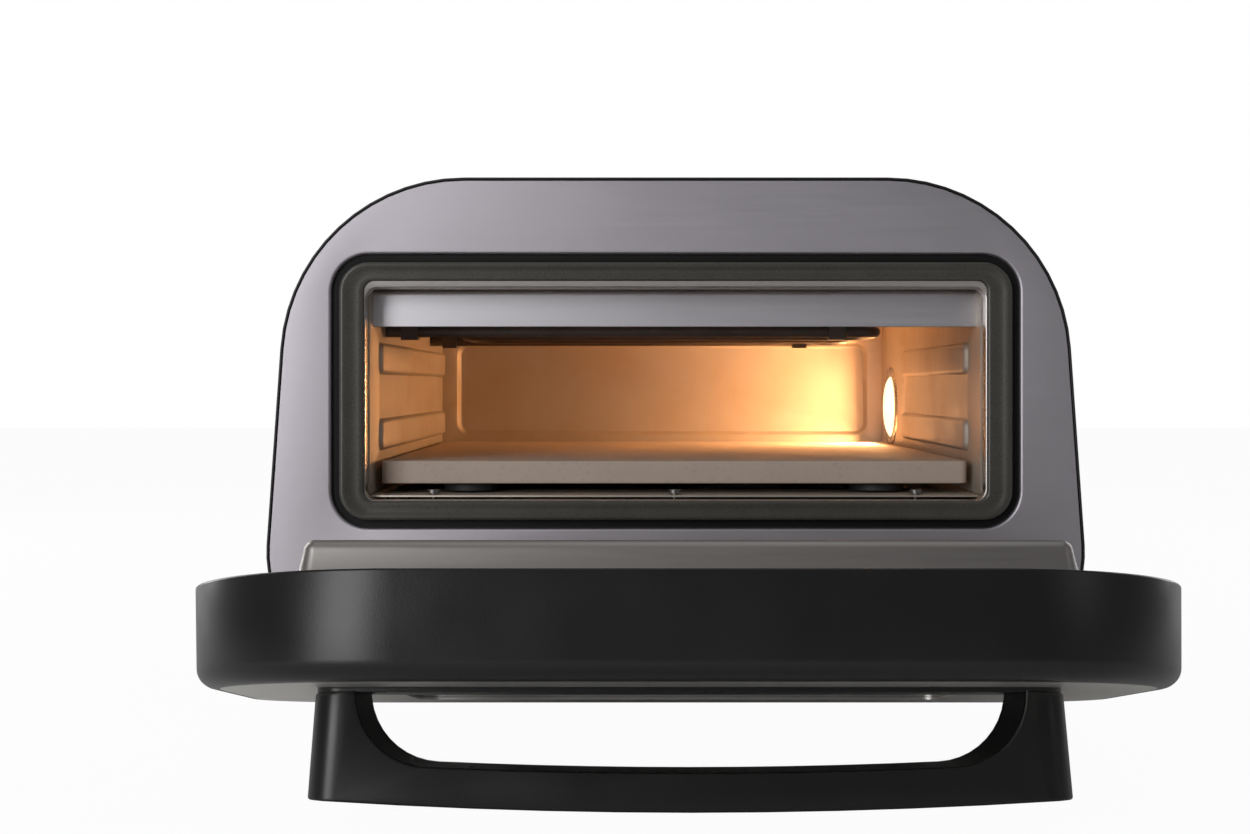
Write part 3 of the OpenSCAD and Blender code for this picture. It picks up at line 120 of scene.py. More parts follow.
def rounded_rect(width, height, radius, x=0.0, z=0.0):
    """A function that gives the arcs of a rounded rectangle, drawn in by inset."""
    def arcs(inset):
        dx, dz = width / 2 - radius, height / 2 - radius
        quarter = math.pi / 2
        corners = [(dx, dz), (-dx, dz), (-dx, -dz), (dx, -dz)]
        return [
            (x + cx, z + cz, radius - inset, i * quarter, (i + 1) * quarter)
            for i, (cx, cz) in enumerate(corners)
        ]
    return arcs


def arc_loop(bm, arcs, y, steps=ARC_STEPS):
    """The edges of a closed loop in the plane y: arcs joined by straight lines."""
    verts = []
    for x, z, radius, start, end in arcs:
        verts.append(bm.verts.new((x + radius * math.cos(start), y, z + radius * math.sin(start))))
        before = len(bm.verts)
        bmesh.ops.spin(
            bm, geom=[verts[-1]], cent=(x, y, z), axis=-Y, angle=end - start, steps=steps)
        bm.verts.ensure_lookup_table()
        verts += bm.verts[before:]
    edges = []
    for a, b in zip(verts, verts[1:] + verts[:1]):
        edges.append(bm.edges.get((a, b)) or bm.edges.new((a, b)))
    return edges


def loft(bm, loops, closed=False, steps=ARC_STEPS):
    """Skin through loops given as (arcs, y); open ends are capped.

    The loops are drawn well apart, where each bridge is plain, and then moved into place.
    """
    rings = [arc_loop(bm, arcs, 0.2 * i, steps) for i, (arcs, y) in enumerate(loops)]
    pairs = list(zip(rings, rings[1:]))
    if closed:
        pairs.append((rings[-1], rings[0]))
    for a, b in pairs:
        bmesh.ops.bridge_loops(bm, edges=a + b)
    if not closed:
        for ring in (rings[0], rings[-1]):
            bmesh.ops.contextual_create(bm, geom=ring)
    for ring, (arcs, y) in zip(rings, loops):
        for edge in ring:
            for vert in edge.verts:
                vert.co.y = y


def soft_edge(radius, y, towards, steps=5):
    """Points (inset, y) of a quarter round, from a face at y to the side."""
    return [
        (radius * (1 - math.sin(t)), y + towards * radius * (1 - math.cos(t)))
        for t in quarter_turn(steps)
    ]


def slab(bm, shape, y0, y1, soft0, soft1, steps=ARC_STEPS):
    """A plate of one shape between y0 and y1, with a rounded edge on each face."""
    section = soft_edge(soft0, y0, 1) + soft_edge(soft1, y1, -1)[::-1]
    loft(bm, [(shape(inset), y) for inset, y in section], steps=steps)


def hoop(bm, outer, inner, y0, y1, soft):
    """A flat frame between two shapes, with rounded edges."""
    out = soft_edge(soft, y0, 1, 3) + soft_edge(soft, y1, -1, 3)[::-1]
    loops = [(outer(inset), y) for inset, y in out]
    loops += [(inner(-inset), y) for inset, y in out[::-1]]
    loft(bm, loops, closed=True)


def revolve(bm, profile, steps=FULL_STEPS):
    """A turned form round Z, from points (radius, z) that start and end on the axis."""
    verts = [bm.verts.new((radius, 0, z)) for radius, z in profile]
    edges = [bm.edges.new(pair) for pair in zip(verts, verts[1:])]
    bmesh.ops.spin(
        bm, geom=verts + edges, cent=(0, 0, 0), axis=Z, angle=2 * math.pi, steps=steps,
        use_merge=True)


def block(bm, low, high, soft, segments=3):
    """A box with rounded edges."""
    low, high = Vector(low), Vector(high)
    size = Matrix.Diagonal((*(high - low), 1))
    made = bmesh.ops.create_cube(bm, matrix=Matrix.Translation((low + high) / 2) @ size)
    edges = {edge for vert in made["verts"] for edge in vert.link_edges}
    bmesh.ops.bevel(
        bm, geom=list(edges), offset=soft, segments=segments, profile=0.5, affect="EDGES",
        material=-1, clamp_overlap=True)


def bent_tube(bm, points, z, radius, bend, sides=16):
    """A tube through square corners in a level plane, with round bends."""
    points = [Vector((x, y, z)) for x, y in points]
    heading = (points[1] - points[0]).normalized()
    upright = heading.to_track_quat("Z", "Y").to_matrix().to_4x4()
    made = bmesh.ops.create_circle(
        bm, cap_ends=True, segments=sides, radius=radius,
        matrix=Matrix.Translation(points[0]) @ upright)
    face = made["verts"][0].link_faces[0]
    here = points[0]
    for i in range(1, len(points)):
        last = i == len(points) - 1
        stop = points[i] if last else points[i] - heading * bend
        grown = bmesh.ops.extrude_discrete_faces(bm, faces=[face])
        face = grown["faces"][0]
        bmesh.ops.translate(bm, verts=face.verts, vec=stop - here)
        here = stop
        if last:
            break
        onward = (points[i + 1] - points[i]).normalized()
        turn = math.copysign(math.pi / 2, heading.cross(onward).z)
        turned = bmesh.ops.spin(
            bm, geom=[face] + list(face.edges) + list(face.verts), cent=here + onward * bend,
            axis=Z, angle=turn, steps=8)
        face = next(part for part in turned["geom_last"] if isinstance(part, bmesh.types.BMFace))
        here = points[i] + onward * bend
        heading = onward


# ---------- finishes ----------

class Wire:
    """A shader socket that can be used in plain arithmetic."""

    def __init__(self, tree, socket):
        self.tree = tree
        self.socket = socket

    def maths(self, operation, *values):
        node = self.tree.nodes.new("ShaderNodeMath")
        node.operation = operation
        for entry, value in zip(node.inputs, values):
            connect(self.tree, entry, value)
        return Wire(self.tree, node.outputs[0])

    def __add__(self, other):
        return self.maths("ADD", self, other)

    def __sub__(self, other):
        return self.maths("SUBTRACT", self, other)

    def __rsub__(self, other):
        return self.maths("SUBTRACT", other, self)

    def __mul__(self, other):
        return self.maths("MULTIPLY", self, other)

    __radd__ = __add__
    __rmul__ = __mul__


def connect(tree, entry, value):
    """Links a wire to a socket, or sets the socket's own value."""
    if isinstance(value, Wire):
        tree.links.new(value.socket, entry)
    elif entry.type == "RGBA" and len(value) == 3:
        entry.default_value = (*value, 1)
    else:
        entry.default_value = value


class Finish:
    """A procedural material on Object coordinates, for one slot of the record."""

    def __init__(self, name, slot, **constants):
        self.slot = slot
        self.material = bpy.data.materials.new(name)
        self.material.use_nodes = True
        self.tree = self.material.node_tree
        self.shader = self.tree.nodes["Principled BSDF"]
        self.set(**constants)
        self.place = self.node("ShaderNodeTexCoord", output="Object")

    def node(self, kind, settings=None, sockets=None, output=0):
        node = self.tree.nodes.new(kind)
        for key, value in (settings or {}).items():
            setattr(node, key, value)
        for key, value in (sockets or {}).items():
            connect(self.tree, node.inputs[key], value)
        return Wire(self.tree, node.outputs[output])

    def set(self, **sockets):
        """Sockets of the shader by name, with _ for a space."""
        for key, value in sockets.items():
            connect(self.tree, self.shader.inputs[key.replace("_", " ")], value)

    def noise(self, scale, detail=3.0, stretch=(1, 1, 1), rough=0.55):
        """Smooth noise; scale is in waves per metre."""
        spot = self.node("ShaderNodeVectorMath", {"operation": "MULTIPLY"},
                         {0: self.place, 1: stretch})
        return self.node("ShaderNodeTexNoise", sockets={
            "Vector": spot, "Scale": scale, "Detail": detail, "Roughness": rough})

    def level(self, value, low, high, to_low=0.0, to_high=1.0):
        """A wire stretched from one range to another and held within it."""
        return self.node("ShaderNodeMapRange", sockets={
            "Value": value, "From Min": low, "From Max": high,
            "To Min": to_low, "To Max": to_high})

    def blend(self, factor, first, second):
        return self.node("ShaderNodeMix", {"data_type": "RGBA"},
                         {0: factor, 6: first, 7: second}, output=2)

    def bump(self, height, distance):
        self.set(Normal=self.node("ShaderNodeBump", sockets={
            "Height": height, "Distance": distance, "Strength": 1.0}))


def black_coat(name, slot, colour, rough, grain, depth):
    """Semi-matt black paint or plastic with a fine even grain."""
    finish = Finish(name, slot, Specular_IOR_Level=0.5)
    cloud = finish.noise(18, 2)
    fine = finish.noise(grain, 2)
    pale = tuple(c * 1.35 for c in colour)
    finish.set(Base_Color=finish.blend(cloud, colour, pale),
               Roughness=finish.level(cloud, 0.3, 0.7, rough - 0.04, rough + 0.05))
    finish.bump(fine, depth)
    return finish


def satin_metal(name, slot, colour, rough, stretch, grain=900, depth=0.00003):
    """Sheet metal with a fine grain that runs along one direction."""
    finish = Finish(name, slot, Metallic=1.0)
    lines = finish.noise(grain, 3, stretch)
    cloud = finish.noise(9, 2)
    dark = tuple(c * 0.9 for c in colour)
    finish.set(Base_Color=finish.blend(lines * 0.6 + cloud * 0.4, dark, colour),
               Roughness=finish.level(lines + cloud, 0.6, 1.4, rough - 0.05, rough + 0.06))
    finish.bump(lines, depth)
    return finish


def liner_metal(name, slot, colour, stained):
    """Bright oven sheet, a little heat stained and scuffed."""
    finish = Finish(name, slot, Metallic=0.45)
    stain = finish.level(finish.noise(14, 4), 0.45, 0.75)
    scuff = finish.noise(420, 3, (0.15, 1, 1))
    finish.set(Base_Color=finish.blend(stain, colour, stained),
               Roughness=finish.level(scuff + stain, 0.3, 1.5, 0.42, 0.6))
    finish.bump(scuff, 0.00004)
    return finish


def rubber_like(name, slot, colour, rough):
    finish = Finish(name, slot)
    cloud = finish.noise(60, 3)
    fine = finish.noise(1400, 2)
    pale = tuple(c * 1.5 for c in colour)
    finish.set(Base_Color=finish.blend(cloud, colour, pale),
               Roughness=finish.level(fine, 0.3, 0.7, rough - 0.06, rough + 0.06))
    finish.bump(fine, 0.00001)
    return finish


def mineral(name, slot, colour, speck, grain=260, rough=0.85, depth=0.0003, speckled=0.7):
    """Fired or rough mineral with specks and open pores."""
    finish = Finish(name, slot)
    body = finish.noise(30, 4)
    specks = finish.level(finish.noise(grain, 3), 0.58, 0.7)
    pores = finish.node("ShaderNodeTexVoronoi", {"feature": "F1"},
                        {"Vector": finish.place, "Scale": grain * 1.6})
    pale = tuple(min(1.0, c * 1.18) for c in colour)
    finish.set(Base_Color=finish.blend(specks * speckled, finish.blend(body, colour, pale), speck),
               Roughness=finish.level(body, 0.3, 0.7, rough - 0.06, rough + 0.06))
    finish.bump(finish.level(pores, 0.0, 0.35) + body, depth)
    return finish


shell_black = black_coat("shell_coat", "black_shell", (0.013, 0.013, 0.0135), 0.42, 900, 0.00004)
rim_black = black_coat("rim_black", "black_plastic", (0.0055, 0.0052, 0.0055), 0.31, 1100, 0.00003)
grip_black = black_coat("grip_black", "black_plastic", (0.005, 0.0044, 0.0045), 0.3, 1100, 0.00003)
# Dark finish for the liner-steel stone rests: painted shade of the stone's shadow over them.
rest_painted_shade = black_coat("rest_painted_shade", "oven_liner", (0.02, 0.018, 0.017), 0.6, 700, 0.00005)
part_black = black_coat("part_black", "black_plastic", (0.012, 0.012, 0.012), 0.45, 1300, 0.00004)
face_steel = satin_metal("face_steel", "brushed_face", (0.56, 0.53, 0.575), 0.46, (0.02, 1, 1))
# Brushed steel of the door's outer panel, paler than the face's steel: the extra brightness is a
# painted reflection of the bright floor.
door_steel_painted_reflection = satin_metal("door_steel_painted_reflection", "brushed_face", (0.82, 0.8, 0.76), 0.4, (0.02, 1, 1))
# Near-black steel for the step at the groove's bottom: painted shade of the deep groove, not the
# metal's own colour.
groove_painted_shade = satin_metal("groove_painted_shade", "brushed_face", (0.03, 0.03, 0.03), 0.6, (1, 1, 1))
pan_steel = satin_metal("pan_steel", "brushed_face", (0.36, 0.34, 0.325), 0.42, (0.05, 1, 1),
                        500, 0.00001)
lip_steel = satin_metal("lip_steel", "brushed_face", (0.5, 0.47, 0.45), 0.28, (0.05, 1, 1))
zinc = satin_metal("zinc_sheet", "zinc_sheet", (0.45, 0.45, 0.46), 0.45, (1, 1, 1), 160)
screw_steel = satin_metal("screw_steel", "screw_steel", (0.24, 0.235, 0.23), 0.4, (1, 1, 1), 700)
liner = liner_metal("oven_liner", "oven_liner", (0.52, 0.46, 0.40), (0.47, 0.38, 0.29))
baffle_steel = satin_metal("baffle_steel", "oven_liner", (0.7, 0.68, 0.72), 0.42, (0.02, 1, 1))
sheath = liner_metal("heater_sheath", "heater_steel", (0.10, 0.085, 0.075), (0.045, 0.04, 0.04))
copper = liner_metal("probe_copper", "probe_copper", (0.62, 0.30, 0.16), (0.35, 0.16, 0.09))
seal_rubber = rubber_like("seal_rubber", "seal_rubber", (0.054, 0.05, 0.043), 0.3)
pad_rubber = rubber_like("pad_rubber", "foot_rubber", (0.016, 0.016, 0.016), 0.7)
stone_finish = mineral("baking_stone", "stone", (0.5, 0.41, 0.345), (0.34, 0.27, 0.22), 420,
                       depth=0.0001, speckled=0.3)
ceramic = mineral("white_ceramic", "white_ceramic", (0.62, 0.56, 0.48), (0.4, 0.34, 0.27), 500, 0.6)
wool = mineral("mineral_wool", "wool", (0.6, 0.5, 0.24), (0.75, 0.66, 0.4), 350, 0.95, 0.001)


def smoked_glass():
    finish = Finish("smoked_glass", "door_glass", Roughness=0.05, IOR=1.5,
                    Specular_IOR_Level=0.5)
    haze = finish.noise(25, 3)
    finish.set(Base_Color=finish.blend(haze, (0.006, 0.007, 0.008), (0.012, 0.013, 0.014)),
               Roughness=finish.level(haze, 0.3, 0.7, 0.04, 0.1))
    return finish


def lamp_glow():
    """The lit lens: a warm glow whose tone wanders with noise."""
    finish = Finish("lamp_glow", "lamp_glass", Roughness=0.3, Emission_Strength=1.5)
    warm = finish.level(finish.noise(60, 2), 0.3, 0.7)
    glow = finish.blend(warm, (1.0, 0.78, 0.42), (1.0, 0.9, 0.62))
    finish.set(Base_Color=glow, Emission_Color=glow)
    return finish


def signal_red():
    finish = Finish("signal_red", "red_plastic", Coat_Weight=0.4)
    cloud = finish.noise(120, 2)
    finish.set(Base_Color=finish.blend(cloud, (0.26, 0.012, 0.009), (0.36, 0.02, 0.015)),
               Roughness=finish.level(cloud, 0.3, 0.7, 0.22, 0.32))
    return finish


glass = smoked_glass()
glow = lamp_glow()
red = signal_red()


# ---------- keeping pieces ----------

def add_object(name, data):
    made = bpy.data.objects.new(name, data)
    bpy.context.scene.collection.objects.link(made)
    return made


def keep(name, bm, finish, body, replaces=(), place=None, crease=38):
    if place is not None:
        bmesh.ops.transform(bm, matrix=place, verts=bm.verts)
    bmesh.ops.remove_doubles(bm, verts=bm.verts, dist=0.000001)
    bmesh.ops.recalc_face_normals(bm, faces=bm.faces)
    for face in bm.faces:
        face.smooth = True
    for edge in bm.edges:
        edge.smooth = edge.calc_face_angle(0) < math.radians(crease)
    mesh = bpy.data.meshes.new(name)
    bm.to_mesh(mesh)
    bm.free()
    mesh.materials.append(finish.material)
    piece = add_object(name, mesh)
    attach(piece, body)
    if replaces:
        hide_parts(*replaces)
    return piece


def dress(finish, *nodes):
    """Gives CAD nodes that keep their shape a finish of this scene."""
    for node in nodes:
        for entry in frame["nodes"][node].material_slots:
            entry.link = "OBJECT"
            entry.material = finish.material


def subtract(piece, low, high):
    """Cuts a box out of a piece for good."""
    bm = bmesh.new()
    block(bm, low, high, 0.3 * MM, 1)
    mesh = bpy.data.meshes.new("cutter")
    bm.to_mesh(mesh)
    bm.free()
    cutter = add_object("cutter", mesh)
    cut = piece.modifiers.new("cut", "BOOLEAN")
    cut.operation = "DIFFERENCE"
    cut.solver = "EXACT"
    cut.object = cutter
    bpy.context.view_layer.update()
    shape = piece.evaluated_get(bpy.context.evaluated_depsgraph_get())
    piece.modifiers.remove(cut)
    old = piece.data
    piece.data = bpy.data.meshes.new_from_object(shape)
    bpy.data.meshes.remove(old)
    bpy.data.objects.remove(cutter)
    bpy.data.meshes.remove(mesh)


# ---------- casing ----------

SHELL_T = 1.2 * MM
SHELL_PROUD = 0.6 * MM


def make_shell():
    bm = bmesh.new()
    hoop(bm, casing, lambda inset: casing(SHELL_T + inset), FACE - SHELL_PROUD, REAR, 0.4 * MM)
    keep("shell_body", bm, shell_black, "housing", ["outer_shell"], crease=30)


SEAL_W, SEAL_H, SEAL_R = 355 * MM, 136 * MM, 15.5 * MM
SEAL_BAND = 10 * MM
SEAL_SIDE = 3.2 * MM
ROLL_R = 1.8 * MM
SEAL_PROUD = 2.7 * MM
seal_low, seal_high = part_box("door_seal")
SEAL_Z = (seal_low.z + seal_high.z) / 2
GROOVE_W = 4.2 * MM
GROOVE_D = 3 * MM
PLATE_T = 1 * MM
seal_shape = rounded_rect(SEAL_W, SEAL_H, SEAL_R, z=SEAL_Z)
MOUTH_H = 112 * MM
MOUTH_Z = FLOOR - 2.7 * MM + MOUTH_H / 2
mouth_shape = rounded_rect(2 * MOUTH_X, MOUTH_H, MOUTH_R, z=MOUTH_Z)


def seal_ring(across):
    """The seal's outline drawn in by across, and a little more at its sides."""
    narrow = 2 * SEAL_SIDE * across / SEAL_BAND
    return rounded_rect(SEAL_W - narrow, SEAL_H, SEAL_R, z=SEAL_Z)(across)


def make_front_plate():
    """The satin face, turned in round the seal's groove."""
    outer = 1.5 * MM
    loops = [
        (casing(outer), FACE + PLATE_T),
        (casing(outer), FACE + 0.3 * MM),
        (casing(outer + 0.3 * MM), FACE),
    ]
    for t in quarter_turn(6):
        loops.append((seal_shape(-GROOVE_W - ROLL_R * (1 - math.sin(t))),
                      FACE + ROLL_R * (1 - math.cos(t))))
    loops += [
        (seal_shape(-GROOVE_W), FACE + GROOVE_D),
        (seal_shape(-GROOVE_W - PLATE_T), FACE + GROOVE_D),
        (seal_shape(-GROOVE_W - PLATE_T), FACE + PLATE_T),
    ]
    bm = bmesh.new()
    loft(bm, loops, closed=True)
    keep("face_plate", bm, face_steel, "housing", ["front_plate"], crease=30)


def make_seal():
    """A rubber band with a bulge along its outer edge and a low one inside."""
    humps = [(0.0, 0.3), (0.15, 0.66), (0.6, 0.9), (1.3, 1.0), (2.2, 0.94), (3.4, 0.74),
             (4.6, 0.56), (6.0, 0.48), (7.4, 0.5), (8.6, 0.52), (9.4, 0.42), (9.9, 0.2)]
    loops = [(seal_ring(0), FACE + 0.3 * MM)]
    loops += [(seal_ring(across * MM), FACE - SEAL_PROUD * high) for across, high in humps]
    loops.append((seal_ring(SEAL_BAND), FACE + 0.3 * MM))
    bm = bmesh.new()
    loft(bm, loops, closed=True)
    keep("seal_band", bm, seal_rubber, "housing", ["door_seal"], crease=50)


def make_mouth_frame():
    """The land under the seal with the mouth's sleeve, and the step behind the groove, painted near
    black as the groove's shade.
    """
    land = 0.4 * MM
    behind = FACE + GROOVE_D + 0.5 * MM
    loops = [
        (seal_shape(land), behind),
        (seal_shape(land), FACE),
        (mouth_shape(-1.0 * MM), FACE),
        (mouth_shape(-0.3 * MM), FACE + 0.3 * MM),
        (mouth_shape(0), FACE + 1.2 * MM),
        (mouth_shape(0), FACE + 8 * MM),
        (mouth_shape(-LINER_T), FACE + 8 * MM),
        (mouth_shape(-LINER_T), FACE + 1.4 * MM),
        (seal_shape(land + LINER_T), FACE + LINER_T),
        (seal_shape(land + LINER_T), behind),
    ]
    bm = bmesh.new()
    loft(bm, loops, closed=True)
    keep("mouth_lip", bm, lip_steel, "housing", ["mouth_frame"], crease=35)
    # The step below is steel painted near black as the shade inside the groove.
    bm = bmesh.new()
    hoop(bm, lambda inset: seal_shape(inset - GROOVE_W - 4 * MM), seal_shape,
         FACE + GROOVE_D + 0.1 * MM, FACE + GROOVE_D + 0.9 * MM, 0.1 * MM)
    keep("groove_step", bm, groove_painted_shade, "housing", ["mouth_frame"])


# ---------- cavity ----------

RIB_H = 17.4 * MM
RIB_OUT = 2.6 * MM
RIB_R = 5 * MM
RIB_START = FACE + 40 * MM
RIB_FULL = 311 * MM
RIB_SHORT = 216 * MM
RIB_LOW = FLOOR + 21.8 * MM
RIB_HIGH = FLOOR + 64 * MM
CAVITY_FRONT = FACE + 8.3 * MM
SHEET_R = 0.4 * MM


def pressed_sheet(bm, outer, panels, rise, soft):
    """A sheet at y = 0 whose panels are pressed forward, towards -Y, by rise."""
    frame_edges = arc_loop(bm, outer, 0.0, 2)
    holes = []
    for panel in panels:
        section = [(0.0, 0.0), (soft * 0.25, -rise * 0.08), (soft * 0.6, -rise * 0.3),
                   (soft * 1.1, -rise * 0.75), (soft * 1.45, -rise * 0.95), (soft * 2, -rise)]
        rings = [arc_loop(bm, panel(inset), y, 6) for inset, y in section]
        for a, b in zip(rings, rings[1:]):
            bmesh.ops.bridge_loops(bm, edges=a + b)
        bmesh.ops.contextual_create(bm, geom=rings[-1])
        holes += rings[0]
    bmesh.ops.triangle_fill(bm, edges=frame_edges + holes, use_beauty=True)
    bmesh.ops.recalc_face_normals(bm, faces=bm.faces)
    bmesh.ops.solidify(bm, geom=bm.faces, thickness=LINER_T)


def make_side_walls():
    """Both side walls; each is pressed as a flat sheet and stood on its side."""
    length = BACK - CAVITY_FRONT
    height = ROOF - FLOOR
    middle = (CAVITY_FRONT + BACK) / 2
    for side, name, run in ((-1, "wall_left", RIB_FULL), (1, "wall_right", RIB_SHORT)):
        along = RIB_START + run / 2 - middle
        ribs = [
            rounded_rect(run, RIB_H, RIB_R, x=along * -side, z=low + RIB_H / 2 - FLOOR - height / 2)
            for low in (RIB_LOW, RIB_HIGH)
        ]
        bm = bmesh.new()
        outline = rounded_rect(length, height, SHEET_R)
        pressed_sheet(bm, outline(0), ribs, RIB_OUT, 1.3 * MM)
        stand = (Matrix.Translation((side * MOUTH_X, middle, FLOOR + height / 2))
                 @ Matrix.Rotation(-side * math.pi / 2, 4, "Z"))
        node = "cavity_left_wall" if side < 0 else "cavity_right_wall"
        keep(name, bm, liner, "housing", [node], place=stand, crease=40)


RECESS_W, RECESS_H, RECESS_R = 304.4 * MM, 68.4 * MM, 9.2 * MM
RECESS_Z = FLOOR + 55 * MM
RECESS_IN = 5 * MM


def make_rear_wall():
    """The rear wall, with a wide panel pressed back in it."""
    height = ROOF - FLOOR
    recess = rounded_rect(RECESS_W, RECESS_H, RECESS_R, z=RECESS_Z)
    outline = rounded_rect(2 * (MOUTH_X + LINER_T), height, SHEET_R, z=FLOOR + height / 2)
    bm = bmesh.new()
    pressed_sheet(bm, outline(0), [recess], -RECESS_IN, 2 * MM)
    keep("wall_rear", bm, liner, "housing", ["cavity_rear_wall"],
         place=Matrix.Translation((0, BACK, 0)), crease=40)


WELL_W, WELL_D, WELL_DEEP = 300 * MM, 236 * MM, 14 * MM
WELL_START = 62 * MM
WELL_R = 16 * MM


def make_cavity_floor():
    """The floor with its well, pressed as a sheet and laid down."""
    low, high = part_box("cavity_floor")
    middle = (low.y + high.y) / 2
    well_z = middle - (FACE + WELL_START + WELL_D / 2)
    outline = rounded_rect(high.x - low.x, high.y - low.y, SHEET_R)
    well = rounded_rect(WELL_W, WELL_D, WELL_R, z=well_z)
    bm = bmesh.new()
    pressed_sheet(bm, outline(0), [well], WELL_DEEP, 3 * MM)
    place = (Matrix.Translation((0, middle, FLOOR - LINER_T))
             @ Matrix.Rotation(math.pi / 2, 4, "X"))
    keep("floor_sheet", bm, liner, "housing", ["cavity_floor"], place=place, crease=40)


BAFFLE_BEND = 3 * MM


def make_baffle():
    """The strip before the upper heater, bent back along its top."""
    low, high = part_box("front_baffle")
    section = [(high.y, high.z)]
    section += [
        (low.y + BAFFLE_BEND * (1 - math.sin(t)), high.z - BAFFLE_BEND * (1 - math.cos(t)))
        for t in quarter_turn(8)
    ]
    section += [(low.y, low.z + 0.3 * MM), (low.y + 0.2 * MM, low.z)]
    bm = bmesh.new()
    verts = [bm.verts.new((low.x, y, z)) for y, z in section]
    edges = [bm.edges.new(pair) for pair in zip(verts, verts[1:])]
    grown = bmesh.ops.extrude_edge_only(bm, edges=edges)
    moved = [part for part in grown["geom"] if isinstance(part, bmesh.types.BMVert)]
    bmesh.ops.translate(bm, verts=moved, vec=X * (high.x - low.x))
    bmesh.ops.recalc_face_normals(bm, faces=bm.faces)
    front = next(face for face in bm.faces if abs(face.normal.y) > 0.99)
    if front.normal.y > 0:
        bmesh.ops.reverse_faces(bm, faces=bm.faces)
    bmesh.ops.solidify(bm, geom=bm.faces, thickness=LINER_T)
    keep("baffle_strip", bm, baffle_steel, "housing", ["front_baffle"], crease=30)


REST_X = 112 * MM
REST_R = 14.8 * MM
REST_Y = (43.8 * MM, 316.2 * MM)


def make_rests():
    """Four low round pads, turned, with a soft edge, painted dark as the shade under the stone."""
    low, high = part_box("stone_rests")
    tall = high.z - low.z
    for i, (x, y) in enumerate((x, y) for y in REST_Y for x in (-REST_X, REST_X)):
        bm = bmesh.new()
        revolve(bm, [(0, 0), (REST_R - 0.4 * MM, 0), (REST_R, 0.5 * MM),
                     (REST_R, tall - 1.0 * MM), (REST_R - 0.4 * MM, tall - 0.3 * MM),
                     (REST_R - 1.1 * MM, tall), (0, tall)])
        keep(f"rest_{i + 1}", bm, rest_painted_shade, "housing", ["stone_rests"],
             place=Matrix.Translation((x, FACE + y, low.z)))


lens_low, lens_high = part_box("lamp_lens")
LAMP = Vector((MOUTH_X, (lens_low.y + lens_high.y) / 2, (lens_low.z + lens_high.z) / 2))
LAMP_R = (lens_high.y - lens_low.y) / 2
LENS_OUT = MOUTH_X - lens_low.x
TO_CAVITY = Matrix.Rotation(-math.pi / 2, 4, "Y")


def make_lamp():
    """The turned ring in the right wall and the domed lens in it."""
    place = Matrix.Translation(LAMP) @ TO_CAVITY
    ring = 7.5 * MM
    bm = bmesh.new()
    revolve(bm, [(LAMP_R, 0), (LAMP_R, 1.3 * MM), (LAMP_R + 0.6 * MM, 2.0 * MM),
                 (LAMP_R + ring * 0.5, 2.2 * MM), (LAMP_R + ring * 0.85, 1.5 * MM),
                 (LAMP_R + ring, 0.4 * MM), (LAMP_R + ring, 0), (LAMP_R, 0)])
    keep("lamp_ring", bm, lip_steel, "housing", ["lamp_bezel"], place=place, crease=50)
    bm = bmesh.new()
    reach = LAMP_R - 0.2 * MM
    dome = [(reach * math.sin(t), LENS_OUT * math.cos(t) ** 0.9)
            for t in quarter_turn(12)[:-1]]
    revolve(bm, [(0, dome[0][1])] + dome[1:] + [(reach, 0), (reach, -2.5 * MM), (0, -2.5 * MM)])
    keep("lamp_dome", bm, glow, "housing", ["lamp_lens"], place=place)


STONE_R = 4 * MM


def make_stone():
    """The square baking stone, with soft edges."""
    low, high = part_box("pizza_stone")
    bm = bmesh.new()
    middle = (low + high) / 2
    shape = rounded_rect(high.x - low.x, high.y - low.y, STONE_R, x=middle.x, z=middle.y)
    slab(bm, shape, low.z, high.z, 0.9 * MM, 0.9 * MM, steps=6)
    keep("stone_slab", bm, stone_finish, "stone", ["pizza_stone"], place=LAID_FLAT)


HEATER_BEND = 14 * MM
RETURN_X = -125 * MM


def make_heaters():
    """The upper heater in four runs and the lower one in two, each one bent tube."""
    for node, name in (("upper_heater", "heater_top"), ("lower_heater", "heater_base")):
        low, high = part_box(node)
        radius = (high.z - low.z) / 2
        level = (high.z + low.z) / 2
        cold, right = low.x, high.x - radius
        runs = [low.y + radius, high.y - radius]
        if node == "upper_heater":
            pitch = (runs[1] - runs[0]) / 3
            ys = [runs[0] + i * pitch for i in range(4)]
            path = [(cold, ys[0]), (right, ys[0]), (right, ys[1]), (RETURN_X, ys[1]),
                    (RETURN_X, ys[2]), (right, ys[2]), (right, ys[3]), (cold, ys[3])]
        else:
            path = [(cold, runs[0]), (right, runs[0]), (right, runs[1]), (cold, runs[1])]
        bm = bmesh.new()
        bent_tube(bm, path, level, radius, HEATER_BEND)
        keep(name, bm, sheath, "housing", [node], crease=50)


# ---------- door ----------

RIM_R = 8 * MM
RIM_W = 17 * MM
RIM_DRAFT = 2.8 * MM
PANEL_IN = 12 * MM
INNER_IN = 6 * MM
PANEL_T = 1.2 * MM
HINGE_X = 120 * MM
NOTCH_W = 22 * MM
PLUG_OUT = 19 * MM
PLUG_DRAFT = 3.5 * MM
PLUG_EDGE = 5 * MM
plug_shape = rounded_rect(2 * MOUTH_X - 3 * MM, MOUTH_H - 5 * MM, 8 * MM, z=MOUTH_Z - HINGE.z)
inner_window = rounded_rect(236 * MM, 64 * MM, 8 * MM, z=MOUTH_Z - HINGE.z)


